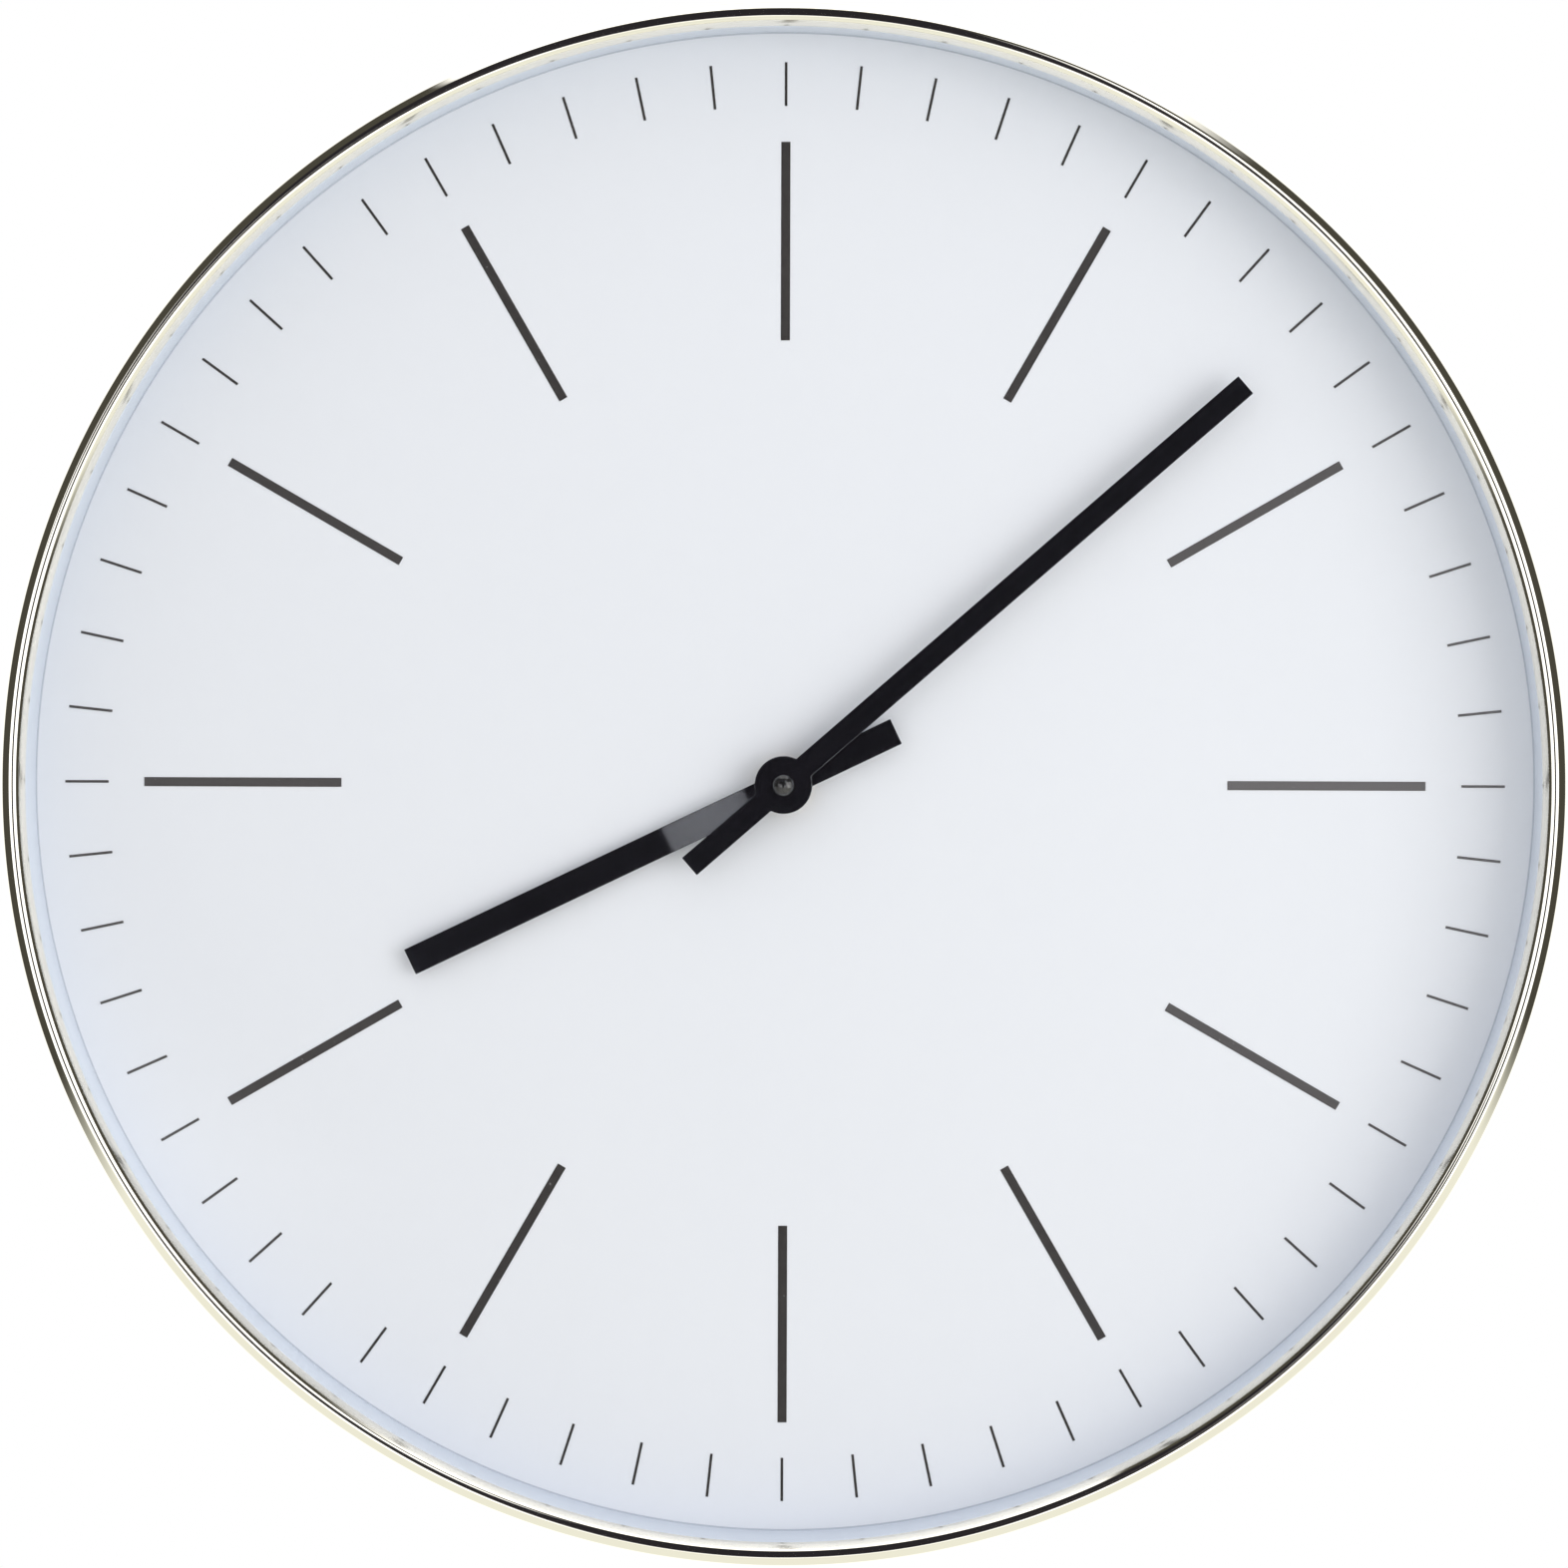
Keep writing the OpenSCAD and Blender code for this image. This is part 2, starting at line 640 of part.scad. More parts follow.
// Plate between the gear train and the motion work, with stakes that carry the stator
module middle_plate() {
    edge = 0.2;
    depth = plate_t + 2 * join;
    rear = plate_z - join;
    color("white") on_wall() difference() {
        union() {
            translate([-inner_half + edge, chamber_y + edge, plate_z])
                cube([2 * (inner_half - edge), chamber_h - 2 * edge, plate_t]);
            for (spot = stakes) {
                at(spot, stator_z + stator_t)
                    cylinder(r = stake_foot_r, h = plate_z - stator_z - stator_t + join);
                at(spot, stator_z - stake_end) cylinder(r = stake_r, h = stator_t + stake_end + join);
            }
        }
        for (spot = boss_spots) at(spot, rear) cylinder(r = boss_r + 0.2, h = depth);
        for (sx = [-1, 1], y = [chamber_y + boss_inset / 2, chamber_top - boss_inset / 2])
            at([sx * (inner_half - boss_inset / 2), y], rear)
                linear_extrude(height = depth) square(boss_inset + join, center = true);
        for (spot = plate_posts) at(spot, rear) cylinder(r = post_hole_r + 0.1, h = depth);
        for (spot = [third_at, inter_at, rotor_at, day_at])
            at(spot, rear) cylinder(r = pivot_hole_r, h = depth);
        at([0, 0], rear) cylinder(r = minute_arbor_d / 2 + run_gap, h = depth);
        at(setting_at, rear) cylinder(r = setting_shaft_r + run_gap, h = depth);
    }
}

module plate_screws() {
    color("silver") on_wall() for (spot = plate_posts) {
        at(spot, plate_z - plate_screw_head_h) cylinder(r = post_r, h = plate_screw_head_h);
        at(spot, plate_z - join) cylinder(r = post_hole_r, h = 3);
    }
}

module rubber_washer() {
    color("black") on_wall() translate([0, 0, movement_front]) tube(12, bushing_d / 2 + 0.1, rubber_t);
}

module brass_washer() {
    color("gold") on_wall() translate([0, 0, dial_top])
        tube(nut_flats / 2 + 0.6, bushing_d / 2 + 0.1, washer_t);
}

module hex_nut() {
    color("gold") on_wall() translate([0, 0, nut_z]) difference() {
        cylinder(d = nut_flats / cos(30), h = nut_h, $fn = 6);
        translate([0, 0, -join]) cylinder(d = bushing_d + 2 * seat_gap, h = nut_h + 2 * join);
    }
}

// ---- Hands and motion work ----

// Straight black hand, its blade toward +y, with a disc round its hole
module hand_outline(width, reach) {
    translate([-width / 2, -hand_tail]) square([width, reach + hand_tail]);
    circle(d = hub_d);
}

// The hour hand's blade leaves the disc flat, bends down over bend_l and runs on level
module hour_hand() {
    start = hub_d / 2;
    back = [[-hand_tail, 0], [start, 0], [start + bend_l, -bend_drop], [hour_hand_reach, -bend_drop]];
    side = concat(back, [for (i = [3 : -1 : 0]) back[i] + [0, hand_t]]);
    color("black") on_wall() translate([0, 0, hour_hand_z]) rotate(-hour_angle) difference() {
        union() {
            translate([-hour_hand_w / 2, 0, 0]) rotate([90, 0, 90])
                linear_extrude(height = hour_hand_w) polygon(side);
            cylinder(d = hub_d, h = hand_t);
        }
        translate([0, 0, -join]) cylinder(d = hour_pipe_d + 2 * seat_gap, h = hand_t + 2 * join);
    }
}

module hour_wheel() {
    pipe_l = hour_pipe_top - hour_z;
    color("ivory") on_wall() translate([0, 0, hour_z]) difference() {
        union() {
            gear(hour_teeth, hour_m, hour_wheel_t, hour_turn);
            cylinder(d = hour_pipe_d, h = pipe_l);
        }
        translate([0, 0, -join]) cylinder(r = minute_arbor_d / 2 + run_gap, h = pipe_l + 2 * join);
    }
}

module minute_hand() {
    color("black") on_wall() translate([0, 0, minute_hand_z]) rotate(-minute_angle) difference() {
        linear_extrude(height = hand_t) hand_outline(minute_hand_w, minute_hand_reach);
        translate([0, 0, -join]) cylinder(d = minute_arbor_d + 2 * seat_gap, h = hand_t + 2 * join);
    }
}

// Hollow arbor with the minute pinion; the second wheel's arbor turns inside it
module minute_arbor() {
    bottom = centre_z - layer_gap;
    color("ivory") on_wall() difference() {
        union() {
            translate([0, 0, bottom]) cylinder(d = minute_arbor_d, h = arbor_top - bottom);
            translate([0, 0, minute_pinion_z]) gear(minute_teeth, minute_m, minute_pinion_t);
        }
        translate([0, 0, bottom - join]) cylinder(r = pivot_hole_r, h = hour_hand_z - bottom);
    }
}

module centre_wheel() {
    hub_h = wheel_t + 0.3;
    color("ivory") on_wall() translate([0, 0, centre_z]) difference() {
        union() {
            gear(centre_teeth, centre_m, wheel_t);
            cylinder(r = minute_arbor_d / 2 + 0.9, h = hub_h);
        }
        translate([0, 0, -join]) cylinder(d = minute_arbor_d, h = hub_h + 2 * join);
    }
}

// Domed cap pressed over the end of the minute arbor
module hand_cap() {
    cap_z = minute_hand_z + hand_t;
    dome_h = 0.9;
    dome_r = (cap_d * cap_d / 4 + dome_h * dome_h) / (2 * dome_h);
    wall_h = arbor_top - cap_z;
    color("black") on_wall() difference() {
        union() {
            translate([0, 0, cap_z]) cylinder(d = cap_d, h = wall_h);
            intersection() {
                translate([0, 0, cap_z + wall_h + dome_h - dome_r]) sphere(r = dome_r);
                translate([0, 0, cap_z + wall_h - join]) cylinder(d = cap_d, h = dome_h + 2 * join);
            }
        }
        translate([0, 0, cap_z - join]) cylinder(d = minute_arbor_d, h = wall_h + join);
    }
}

module day_wheel() {
    pinion_h = hour_z + hour_wheel_t - day_z - day_wheel_t;
    arbor_z = plate_z + 0.2;
    color("ivory") on_wall() {
        at(day_at, day_z) gear(day_teeth, minute_m, day_wheel_t, day_turn);
        at(day_at, day_z + day_wheel_t - join) gear(day_pinion_teeth, hour_m, pinion_h);
        at(day_at, arbor_z) cylinder(r = pivot_r, h = pivot_top - arbor_z);
    }
}

// Shaft from the setting knob, with the pinion that turns the day wheel
module setting_pinion() {
    pinion_top = day_z + day_wheel_t;
    color("ivory") on_wall() {
        at(setting_at, day_z) gear(setting_teeth, minute_m, day_wheel_t, setting_turn);
        at(setting_at, knob_z) cylinder(r = setting_shaft_r, h = pinion_top + layer_gap - knob_z);
        at(setting_at, pinion_top) cylinder(r = pivot_r, h = pivot_top - pinion_top);
    }
}

module setting_knob() {
    grip_r = 0.6;
    recess_h = 0.8;
    color("white") on_wall() at(setting_at, knob_z) difference() {
        cylinder(d = knob_d, h = knob_h);
        around(knob_grips) translate([knob_d / 2 + grip_r / 4, 0, -join])
            cylinder(r = grip_r, h = knob_h + 2 * join, $fn = 24);
        translate([0, 0, -join]) cylinder(r = setting_shaft_r, h = knob_h + 2 * join);
        translate([0, 0, -join]) tube(knob_d / 2 - 2, setting_shaft_r + 1.2, recess_h + join);
    }
}

// ---- Gear train, from the hands back to the rotor ----

// Wheel on an arbor that turns between two pivots
module wheel_on_arbor(spot, z, teeth, tooth_m, arbor_top) {
    color("ivory") on_wall() {
        at(spot, z) gear(teeth, tooth_m, wheel_t);
        at(spot, pivot_bottom) cylinder(r = pivot_r, h = arbor_top - pivot_bottom);
    }
}

// Pinion on the front face of the wheel at height z
module pinion_on_wheel(spot, z, teeth, tooth_m, height, turn) {
    color("ivory") on_wall() at(spot, z + wheel_t - join) gear(teeth, tooth_m, height + join, turn);
}

module third_wheel() {
    wheel_on_arbor(third_at, third_z, third_teeth, third_m, train_top);
    pinion_on_wheel(third_at, third_z, third_pinion_teeth, centre_m, 2.2, third_pinion_turn);
}

module second_wheel() {
    wheel_on_arbor([0, 0], second_z, second_teeth, second_m, bushing_top);
    pinion_on_wheel([0, 0], second_z, second_pinion_teeth, third_m, 2.1, second_pinion_turn);
}

module intermediate_wheel() {
    wheel_on_arbor(inter_at, inter_z, inter_teeth, inter_m, train_top);
    pinion_on_wheel(inter_at, inter_z, inter_pinion_teeth, second_m, 2, inter_pinion_turn);
}

module rotor_pinion() {
    color("ivory") on_wall() {
        at(rotor_at, rotor_pinion_z) gear(rotor_teeth, inter_m, 1.6, rotor_turn);
        at(rotor_at, pivot_bottom) cylinder(r = pivot_r, h = train_top - pivot_bottom);
    }
}

module rotor_magnet() {
    magnet_h = 2;
    color("darkslategray") on_wall()
        at(rotor_at, stator_z - (magnet_h - stator_t) / 2) tube(rotor_d / 2, pivot_r, magnet_h);
}

// ---- Drive electronics ----

// Soft-iron plate round the rotor, whose upper bar is the coil's core
module stator() {
    core_top = coil_y + core_w / 2;
    color("silver") on_wall() difference() {
        translate([0, 0, stator_z]) linear_extrude(height = stator_t) {
            translate([leg_x, coil_y - core_w / 2]) square([leg_right - leg_x, core_w]);
            translate([leg_x, arm_y]) square([leg_w, core_top - arm_y]);
            translate([leg_x, arm_y]) square([rotor_at[0] - leg_x, arm_w]);
            translate([rotor_at[0] - leg_w, rotor_at[1]]) square([2 * leg_w, core_top - rotor_at[1]]);
            translate(rotor_at) circle(r = rotor_hole_r + rotor_ring_w);
        }
        at(rotor_at, stator_z - join) cylinder(r = rotor_hole_r, h = stator_t + 2 * join);
        for (spot = stakes) at(spot, stator_z - join) cylinder(r = stake_r, h = stator_t + 2 * join);
    }
}

// Turns a shape drawn along z to lie along x on the coil's axis
module on_coil() {
    translate([coil_x, coil_y, stator_z + stator_t / 2]) rotate([0, 90, 0]) children();
}

module coil_bobbin() {
    slot_w = core_w + 0.2;
    slot_t = stator_t + 0.2;
    color("forestgreen") on_wall() on_coil() difference() {
        union() {
            cylinder(r = bobbin_r, h = coil_l);
            cylinder(r = flange_r, h = flange_t);
            translate([0, 0, coil_l - flange_t]) cylinder(r = flange_r, h = flange_t);
        }
        translate([-slot_t / 2, -slot_w / 2, -join]) cube([slot_t, slot_w, coil_l + 2 * join]);
    }
}

module coil_winding() {
    color("chocolate") on_wall() on_coil() translate([0, 0, flange_t])
        tube(coil_r, bobbin_r, coil_l - 2 * flange_t);
}

module circuit_board() {
    color("darkgreen") on_wall() translate([board_x, board_y, board_rear]) cube([board_w, board_h, pcb_t]);
}

// Quartz crystal: a small metal can lying on the board
module quartz_crystal() {
    can_r = 1;
    color("silver") on_wall() translate([board_x + 4, board_y + 4, pcb_front + can_r])
        rotate([-90, 0, 0]) cylinder(r = can_r, h = 6);
}

// Blob of black resin over the driver chip
module driver_chip() {
    color("black") on_wall() translate([board_x + 9.5, board_y + 12, pcb_front])
        cylinder(r1 = 2.6, r2 = 1.8, h = 1);
}

// ---- Battery ----

// Stamped strip that stands at one end of the bay
module contact_strip(x) {
    translate([x, cell_y - contact_half_w, mz + 1])
        cube([contact_t, 2 * contact_half_w, front_in - mz - 1]);
}

// Strip at the bay's left end, which touches the cell's nub
module contact_positive() {
    color("silver") on_wall() contact_strip(-inner_half);
}

// Strip at the bay's right end with a bowed spring, which presses on the cell's base
module contact_negative() {
    bow_r = (contact_half_w * contact_half_w + spring_bow * spring_bow) / (2 * spring_bow);
    color("silver") on_wall() {
        contact_strip(bay_right - contact_t);
        translate([bay_right - contact_t - spring_bow + bow_r, cell_y + contact_half_w / 2, cell_z])
            rotate([90, 0, 0]) linear_extrude(height = contact_half_w) intersection() {
                difference() {
                    circle(r = bow_r);
                    circle(r = bow_r - contact_t);
                }
                translate([-bow_r - join, -contact_half_w])
                    square([spring_bow + 2 * join, 2 * contact_half_w]);
            }
    }
}

// Turns a shape drawn along z to lie along x on the cell's axis, from its nub
module on_cell() {
    translate([-inner_half + contact_t + cell_gap, cell_y, cell_z]) rotate([0, 90, 0]) children();
}

module battery_cell() {
    color("silver") on_wall() on_cell() {
        cylinder(d = nub_d, h = nub_h + join);
        translate([0, 0, nub_h]) cylinder(r = cell_r - sleeve_t, h = cell_l - nub_h);
    }
}

module battery_sleeve() {
    color("slategray") on_wall() on_cell() translate([0, 0, nub_h + 0.4])
        tube(cell_r, cell_r - sleeve_t, cell_l - nub_h - 0.8);
}

case_rim();
rim_screws();
glass_lens();
spacer_ring();
hour_marks();
minute_marks();
dial_face();
dial_board();
rear_case();
hanger_plate();
hanger_rivets();
movement_case();
movement_cover();
cover_screws();
middle_plate();
plate_screws();
rubber_washer();
brass_washer();
hex_nut();
hour_hand();
hour_wheel();
minute_hand();
minute_arbor();
centre_wheel();
hand_cap();
day_wheel();
setting_pinion();
setting_knob();
third_wheel();
second_wheel();
intermediate_wheel();
rotor_pinion();
rotor_magnet();
stator();
coil_bobbin();
coil_winding();
circuit_board();
quartz_crystal();
driver_chip();
contact_positive();
contact_negative();
battery_cell();
battery_sleeve();
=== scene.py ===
import math

import bmesh
import bpy
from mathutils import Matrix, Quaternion, Vector


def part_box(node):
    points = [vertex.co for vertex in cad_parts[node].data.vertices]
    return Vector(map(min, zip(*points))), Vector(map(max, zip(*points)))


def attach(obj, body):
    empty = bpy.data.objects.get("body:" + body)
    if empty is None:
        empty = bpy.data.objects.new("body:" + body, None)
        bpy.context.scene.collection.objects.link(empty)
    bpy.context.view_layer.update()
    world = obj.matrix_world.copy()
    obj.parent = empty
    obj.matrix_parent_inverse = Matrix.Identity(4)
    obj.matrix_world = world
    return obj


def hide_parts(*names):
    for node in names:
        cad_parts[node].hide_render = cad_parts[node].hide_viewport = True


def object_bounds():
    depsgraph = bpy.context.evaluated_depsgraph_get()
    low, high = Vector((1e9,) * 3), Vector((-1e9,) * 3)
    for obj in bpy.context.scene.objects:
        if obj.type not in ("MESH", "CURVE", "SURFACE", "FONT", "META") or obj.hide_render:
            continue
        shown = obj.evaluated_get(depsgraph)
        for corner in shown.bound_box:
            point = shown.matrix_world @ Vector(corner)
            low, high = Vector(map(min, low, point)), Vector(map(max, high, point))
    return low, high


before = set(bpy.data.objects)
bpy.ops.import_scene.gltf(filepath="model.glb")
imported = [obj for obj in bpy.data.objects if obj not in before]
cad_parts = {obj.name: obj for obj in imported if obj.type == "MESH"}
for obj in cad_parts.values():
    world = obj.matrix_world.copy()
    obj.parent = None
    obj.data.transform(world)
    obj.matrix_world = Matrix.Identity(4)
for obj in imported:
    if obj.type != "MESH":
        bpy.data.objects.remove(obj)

cad_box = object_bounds()

# ---------------------------------------------------------------------------
# Rear case. A shallow pan moulded in white plastic, spark-eroded to a fine matt grain, with a
# square window for the movement. The rim's six side screws bite into its wall.
# ---------------------------------------------------------------------------
rim_low, rim_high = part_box("case_rim")
axis_x = (rim_low[0] + rim_high[0]) / 2
axis_z = (rim_low[2] + rim_high[2]) / 2
mm = 0.001


def wall_height(node, side):
    """How far a node's back (0) or front (1) stands out of the wall."""
    low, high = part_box(node)
    return -high[1] if side == 0 else -low[1]


def keep(obj, body, slot, *nodes):
    """Puts a finished piece on its body and hides the CAD nodes it stands for; slot, its finish, is not
    used.
    """
    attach(obj, body)
    if nodes:
        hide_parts(*nodes)


def crease(bm, degrees):
    """Smooths every face and leaves an edge sharp where it folds by more than the angle."""
    for face in bm.faces:
        face.smooth = True
    for edge in bm.edges:
        folded = len(edge.link_faces) == 2 and edge.calc_face_angle(0) > math.radians(degrees)
        edge.smooth = not folded


def eased_copy(node, name, radius, degrees=32):
    """A copy of a node's shape with its hard edges broken to a small radius."""
    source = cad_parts[node]
    bm = bmesh.new()
    bm.from_mesh(source.data)
    bmesh.ops.remove_doubles(bm, verts=bm.verts, dist=0.002 * mm)
    bmesh.ops.dissolve_limit(bm, angle_limit=math.radians(0.5), verts=bm.verts, edges=bm.edges)
    crease(bm, degrees)
    mesh = bpy.data.meshes.new(name)
    bm.to_mesh(mesh)
    bm.free()
    obj = bpy.data.objects.new(name, mesh)
    bpy.context.scene.collection.objects.link(obj)
    bevel = obj.modifiers.new("eased edges", "BEVEL")
    bevel.width = radius
    bevel.segments = 2
    bevel.limit_method = "ANGLE"
    bevel.angle_limit = math.radians(degrees)
    bevel.harden_normals = True
    bevel.use_clamp_overlap = True
    return obj


def piece(node, name, body, slot, finish, easing, degrees=32):
    """A CAD node's shape with eased edges and its real finish, riding on its body."""
    obj = eased_copy(node, name, easing, degrees)
    obj.data.materials.append(finish)
    keep(obj, body, slot, node)


def material(name, color, roughness, metallic=0.0, **sockets):
    """A material whose shader is set up, and whose node tree and shader come back with it."""
    made = bpy.data.materials.new(name)
    made.use_nodes = True
    shader = made.node_tree.nodes["Principled BSDF"]
    shader.inputs["Base Color"].default_value = (*color, 1)
    shader.inputs["Roughness"].default_value = roughness
    shader.inputs["Metallic"].default_value = metallic
    for socket, value in sockets.items():
        shader.inputs[socket.replace("_", " ")].default_value = value
    return made, made.node_tree, shader


def group_tree(name, inputs, outputs):
    """A node group with named sockets: (name, type, value) going in, (name, type) coming out."""
    tree = bpy.data.node_groups.new(name, "ShaderNodeTree")
    for label, kind, value in inputs:
        socket = tree.interface.new_socket(label, in_out="INPUT", socket_type=kind)
        socket.default_value = value
    for label, kind in outputs:
        tree.interface.new_socket(label, in_out="OUTPUT", socket_type=kind)
    return tree, tree.nodes.new("NodeGroupInput"), tree.nodes.new("NodeGroupOutput")


def use_group(tree, group, **values):
    """Places a node group in a material, with its own values."""
    node = tree.nodes.new("ShaderNodeGroup")
    node.node_tree = group
    for socket, value in values.items():
        node.inputs[socket.replace("_", " ")].default_value = value
    return node


def calc(tree, operation, first, second=None, third=None):
    """One Math node; an argument is a number or another node's output."""
    node = tree.nodes.new("ShaderNodeMath")
    node.operation = operation
    for socket, value in zip(node.inputs, (first, second, third)):
        if value is None:
            continue
        if isinstance(value, (int, float)):
            socket.default_value = value
        else:
            tree.links.new(value, socket)
    return node.outputs[0]


def noise(tree, vector, scale, detail=2.0, roughness=0.5):
    """One Noise node on the given coordinates; comes back as its factor."""
    node = tree.nodes.new("ShaderNodeTexNoise")
    node.inputs["Detail"].default_value = detail
    node.inputs["Roughness"].default_value = roughness
    if isinstance(scale, (int, float)):
        node.inputs["Scale"].default_value = scale
    else:
        tree.links.new(scale, node.inputs["Scale"])
    tree.links.new(vector, node.inputs["Vector"])
    return node.outputs["Fac"]


def blend_color(tree, factor, first, second):
    """One Mix node for colours; comes back as its colour."""
    node = tree.nodes.new("ShaderNodeMix")
    node.data_type = "RGBA"
    for label, value in (("Factor", factor), ("A", first), ("B", second)):
        if isinstance(value, (int, float, tuple)):
            node.inputs[label].default_value = value
        else:
            tree.links.new(value, node.inputs[label])
    return node.outputs["Result"]


def spread(tree, value, low, high, to_low, to_high):
    """One Map Range node with smooth ends."""
    node = tree.nodes.new("ShaderNodeMapRange")
    node.interpolation_type = "SMOOTHSTEP"
    for socket, number in zip(node.inputs[1:5], (low, high, to_low, to_high)):
        if isinstance(number, (int, float)):
            socket.default_value = number
        else:
            tree.links.new(number, socket)
    tree.links.new(value, node.inputs[0])
    return node.outputs[0]


def mixed(tree, first, share, second):
    """Two values added after each is scaled by its share; the shares make 1."""
    rest = calc(tree, "MULTIPLY", second, round(1 - share, 3))
    return calc(tree, "ADD", calc(tree, "MULTIPLY", first, share), rest)


def raise_grain(tree, shader, height, distance):
    """Feeds a height through a Bump node to the shader's normal."""
    bump = tree.nodes.new("ShaderNodeBump")
    bump.inputs["Distance"].default_value = distance
    bump.inputs["Strength"].default_value = 1.0
    tree.links.new(height, bump.inputs["Height"])
    tree.links.new(bump.outputs["Normal"], shader.inputs["Normal"])


# Fine matt grain of a moulded or printed surface: small cells, broad drifts and a few rubbed spots
moulded_grain, inside, result = group_tree(
    "moulded grain",
    [("Color", "NodeSocketColor", (1, 1, 1, 1)), ("Drift Color", "NodeSocketColor", (1, 1, 1, 1)),
     ("Grain Scale", "NodeSocketFloat", 2500.0), ("Roughness", "NodeSocketFloat", 0.5),
     ("Roughness Range", "NodeSocketFloat", 0.1)],
    [("Color", "NodeSocketColor"), ("Roughness", "NodeSocketFloat"), ("Height", "NodeSocketFloat")])
coords = moulded_grain.nodes.new("ShaderNodeTexCoord").outputs["Object"]
cells = noise(moulded_grain, coords, inside.outputs["Grain Scale"], 3.0, 0.6)
drift = noise(moulded_grain, coords, 14.0, 3.0, 0.55)
rubbed = noise(moulded_grain, coords, 95.0, 4.0, 0.65)
worn = spread(moulded_grain, rubbed, 0.56, 0.7, 0.0, 1.0)
shift = mixed(moulded_grain, drift, 0.7, cells)
toned = blend_color(moulded_grain, shift, inside.outputs["Color"], inside.outputs["Drift Color"])
polished = calc(moulded_grain, "MULTIPLY", worn, 0.6)
swing = calc(moulded_grain, "SUBTRACT", calc(moulded_grain, "MULTIPLY", cells, 0.8), polished)
rough = calc(moulded_grain, "MULTIPLY_ADD", swing, inside.outputs["Roughness Range"],
             inside.outputs["Roughness"])
moulded_grain.links.new(toned, result.inputs["Color"])
moulded_grain.links.new(rough, result.inputs["Roughness"])
moulded_grain.links.new(cells, result.inputs["Height"])


def grained(name, color, drift_color, roughness, scale, depth, roughness_range=0.1, **sockets):
    """A moulded or printed finish made with the moulded grain."""
    made, tree, shader = material(name, color, roughness, **sockets)
    grain = use_group(tree, moulded_grain, Color=(*color, 1), Drift_Color=(*drift_color, 1),
                      Grain_Scale=scale, Roughness=roughness, Roughness_Range=roughness_range)
    tree.links.new(grain.outputs["Color"], shader.inputs["Base Color"])
    tree.links.new(grain.outputs["Roughness"], shader.inputs["Roughness"])
    raise_grain(tree, shader, grain.outputs["Height"], depth)
    return made


case_plastic = grained("white case plastic", (0.80, 0.79, 0.75), (0.73, 0.72, 0.67), 0.46,
                       2600.0, 0.03 * mm)
piece("rear_case", "rear_pan", "case", "case_plastic", case_plastic, 0.35 * mm)

# ---------------------------------------------------------------------------
# Hanger plate. Blanked from zinc-plated steel strip with a keyhole for the wall screw, and held
# in its recess by two set rivets.
# ---------------------------------------------------------------------------
# Lines left by rolling, brushing or drawing: noise stretched along one direction
drawn_lines, inside, result = group_tree(
    "drawn lines",
    [("Color", "NodeSocketColor", (1, 1, 1, 1)), ("Line Color", "NodeSocketColor", (1, 1, 1, 1)),
     ("Stretch", "NodeSocketVector", (1, 1, 1)), ("Roughness", "NodeSocketFloat", 0.3),
     ("Roughness Range", "NodeSocketFloat", 0.15)],
    [("Color", "NodeSocketColor"), ("Roughness", "NodeSocketFloat"), ("Height", "NodeSocketFloat")])
coords = drawn_lines.nodes.new("ShaderNodeTexCoord").outputs["Object"]
scaled = drawn_lines.nodes.new("ShaderNodeVectorMath")
scaled.operation = "MULTIPLY"
drawn_lines.links.new(coords, scaled.inputs[0])
drawn_lines.links.new(inside.outputs["Stretch"], scaled.inputs[1])
lines = noise(drawn_lines, scaled.outputs["Vector"], 1.0, 3.0, 0.6)
patches = noise(drawn_lines, coords, 160.0, 3.0, 0.6)
tone = mixed(drawn_lines, lines, 0.6, patches)
streaked = blend_color(drawn_lines, tone, inside.outputs["Color"], inside.outputs["Line Color"])
rough = calc(drawn_lines, "MULTIPLY_ADD", tone, inside.outputs["Roughness Range"],
             inside.outputs["Roughness"])
drawn_lines.links.new(streaked, result.inputs["Color"])
drawn_lines.links.new(rough, result.inputs["Roughness"])
drawn_lines.links.new(lines, result.inputs["Height"])


def drawn_metal(name, color, line_color, roughness, stretch, depth, roughness_range=0.15):
    """A rolled, brushed or drawn metal."""
    made, tree, shader = material(name, color, roughness, metallic=1.0)
    grain = use_group(tree, drawn_lines, Color=(*color, 1), Line_Color=(*line_color, 1), Stretch=stretch,
                      Roughness=roughness, Roughness_Range=roughness_range)
    tree.links.new(grain.outputs["Color"], shader.inputs["Base Color"])
    tree.links.new(grain.outputs["Roughness"], shader.inputs["Roughness"])
    raise_grain(tree, shader, grain.outputs["Height"], depth)
    return made


def finish_node(node, made):
    """Gives a CAD node that keeps its own shape its real finish."""
    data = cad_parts[node].data
    data.materials.clear()
    data.materials.append(made)


zinc = drawn_metal("zinc plated steel", (0.62, 0.64, 0.68), (0.50, 0.52, 0.55), 0.26,
                   (300, 300, 5000), 0.012 * mm)
piece("hanger_plate", "hanger", "case", "zinc_steel", zinc, 0.15 * mm)
screw_steel = drawn_metal("bright zinc fastener steel", (0.66, 0.66, 0.67), (0.54, 0.54, 0.54), 0.22,
                          (2500, 2500, 2500), 0.01 * mm)
piece("hanger_rivets", "set_rivets", "case", "screw_steel", screw_steel, 0.2 * mm)

# ---------------------------------------------------------------------------
# Movement case. Two black moulded halves: the front box with the threaded bushing, and the back
# cover, closed by four small screws.
# ---------------------------------------------------------------------------
movement_plastic = grained("black movement plastic", (0.022, 0.022, 0.024), (0.034, 0.034, 0.035), 0.42,
                           3200.0, 0.025 * mm)
for node, name in (("movement_case", "movement_box"), ("movement_cover", "movement_back")):
    piece(node, name, "case", "movement_plastic", movement_plastic, 0.22 * mm)
piece("cover_screws", "closing_screws", "case", "screw_steel", screw_steel, 0.08 * mm)

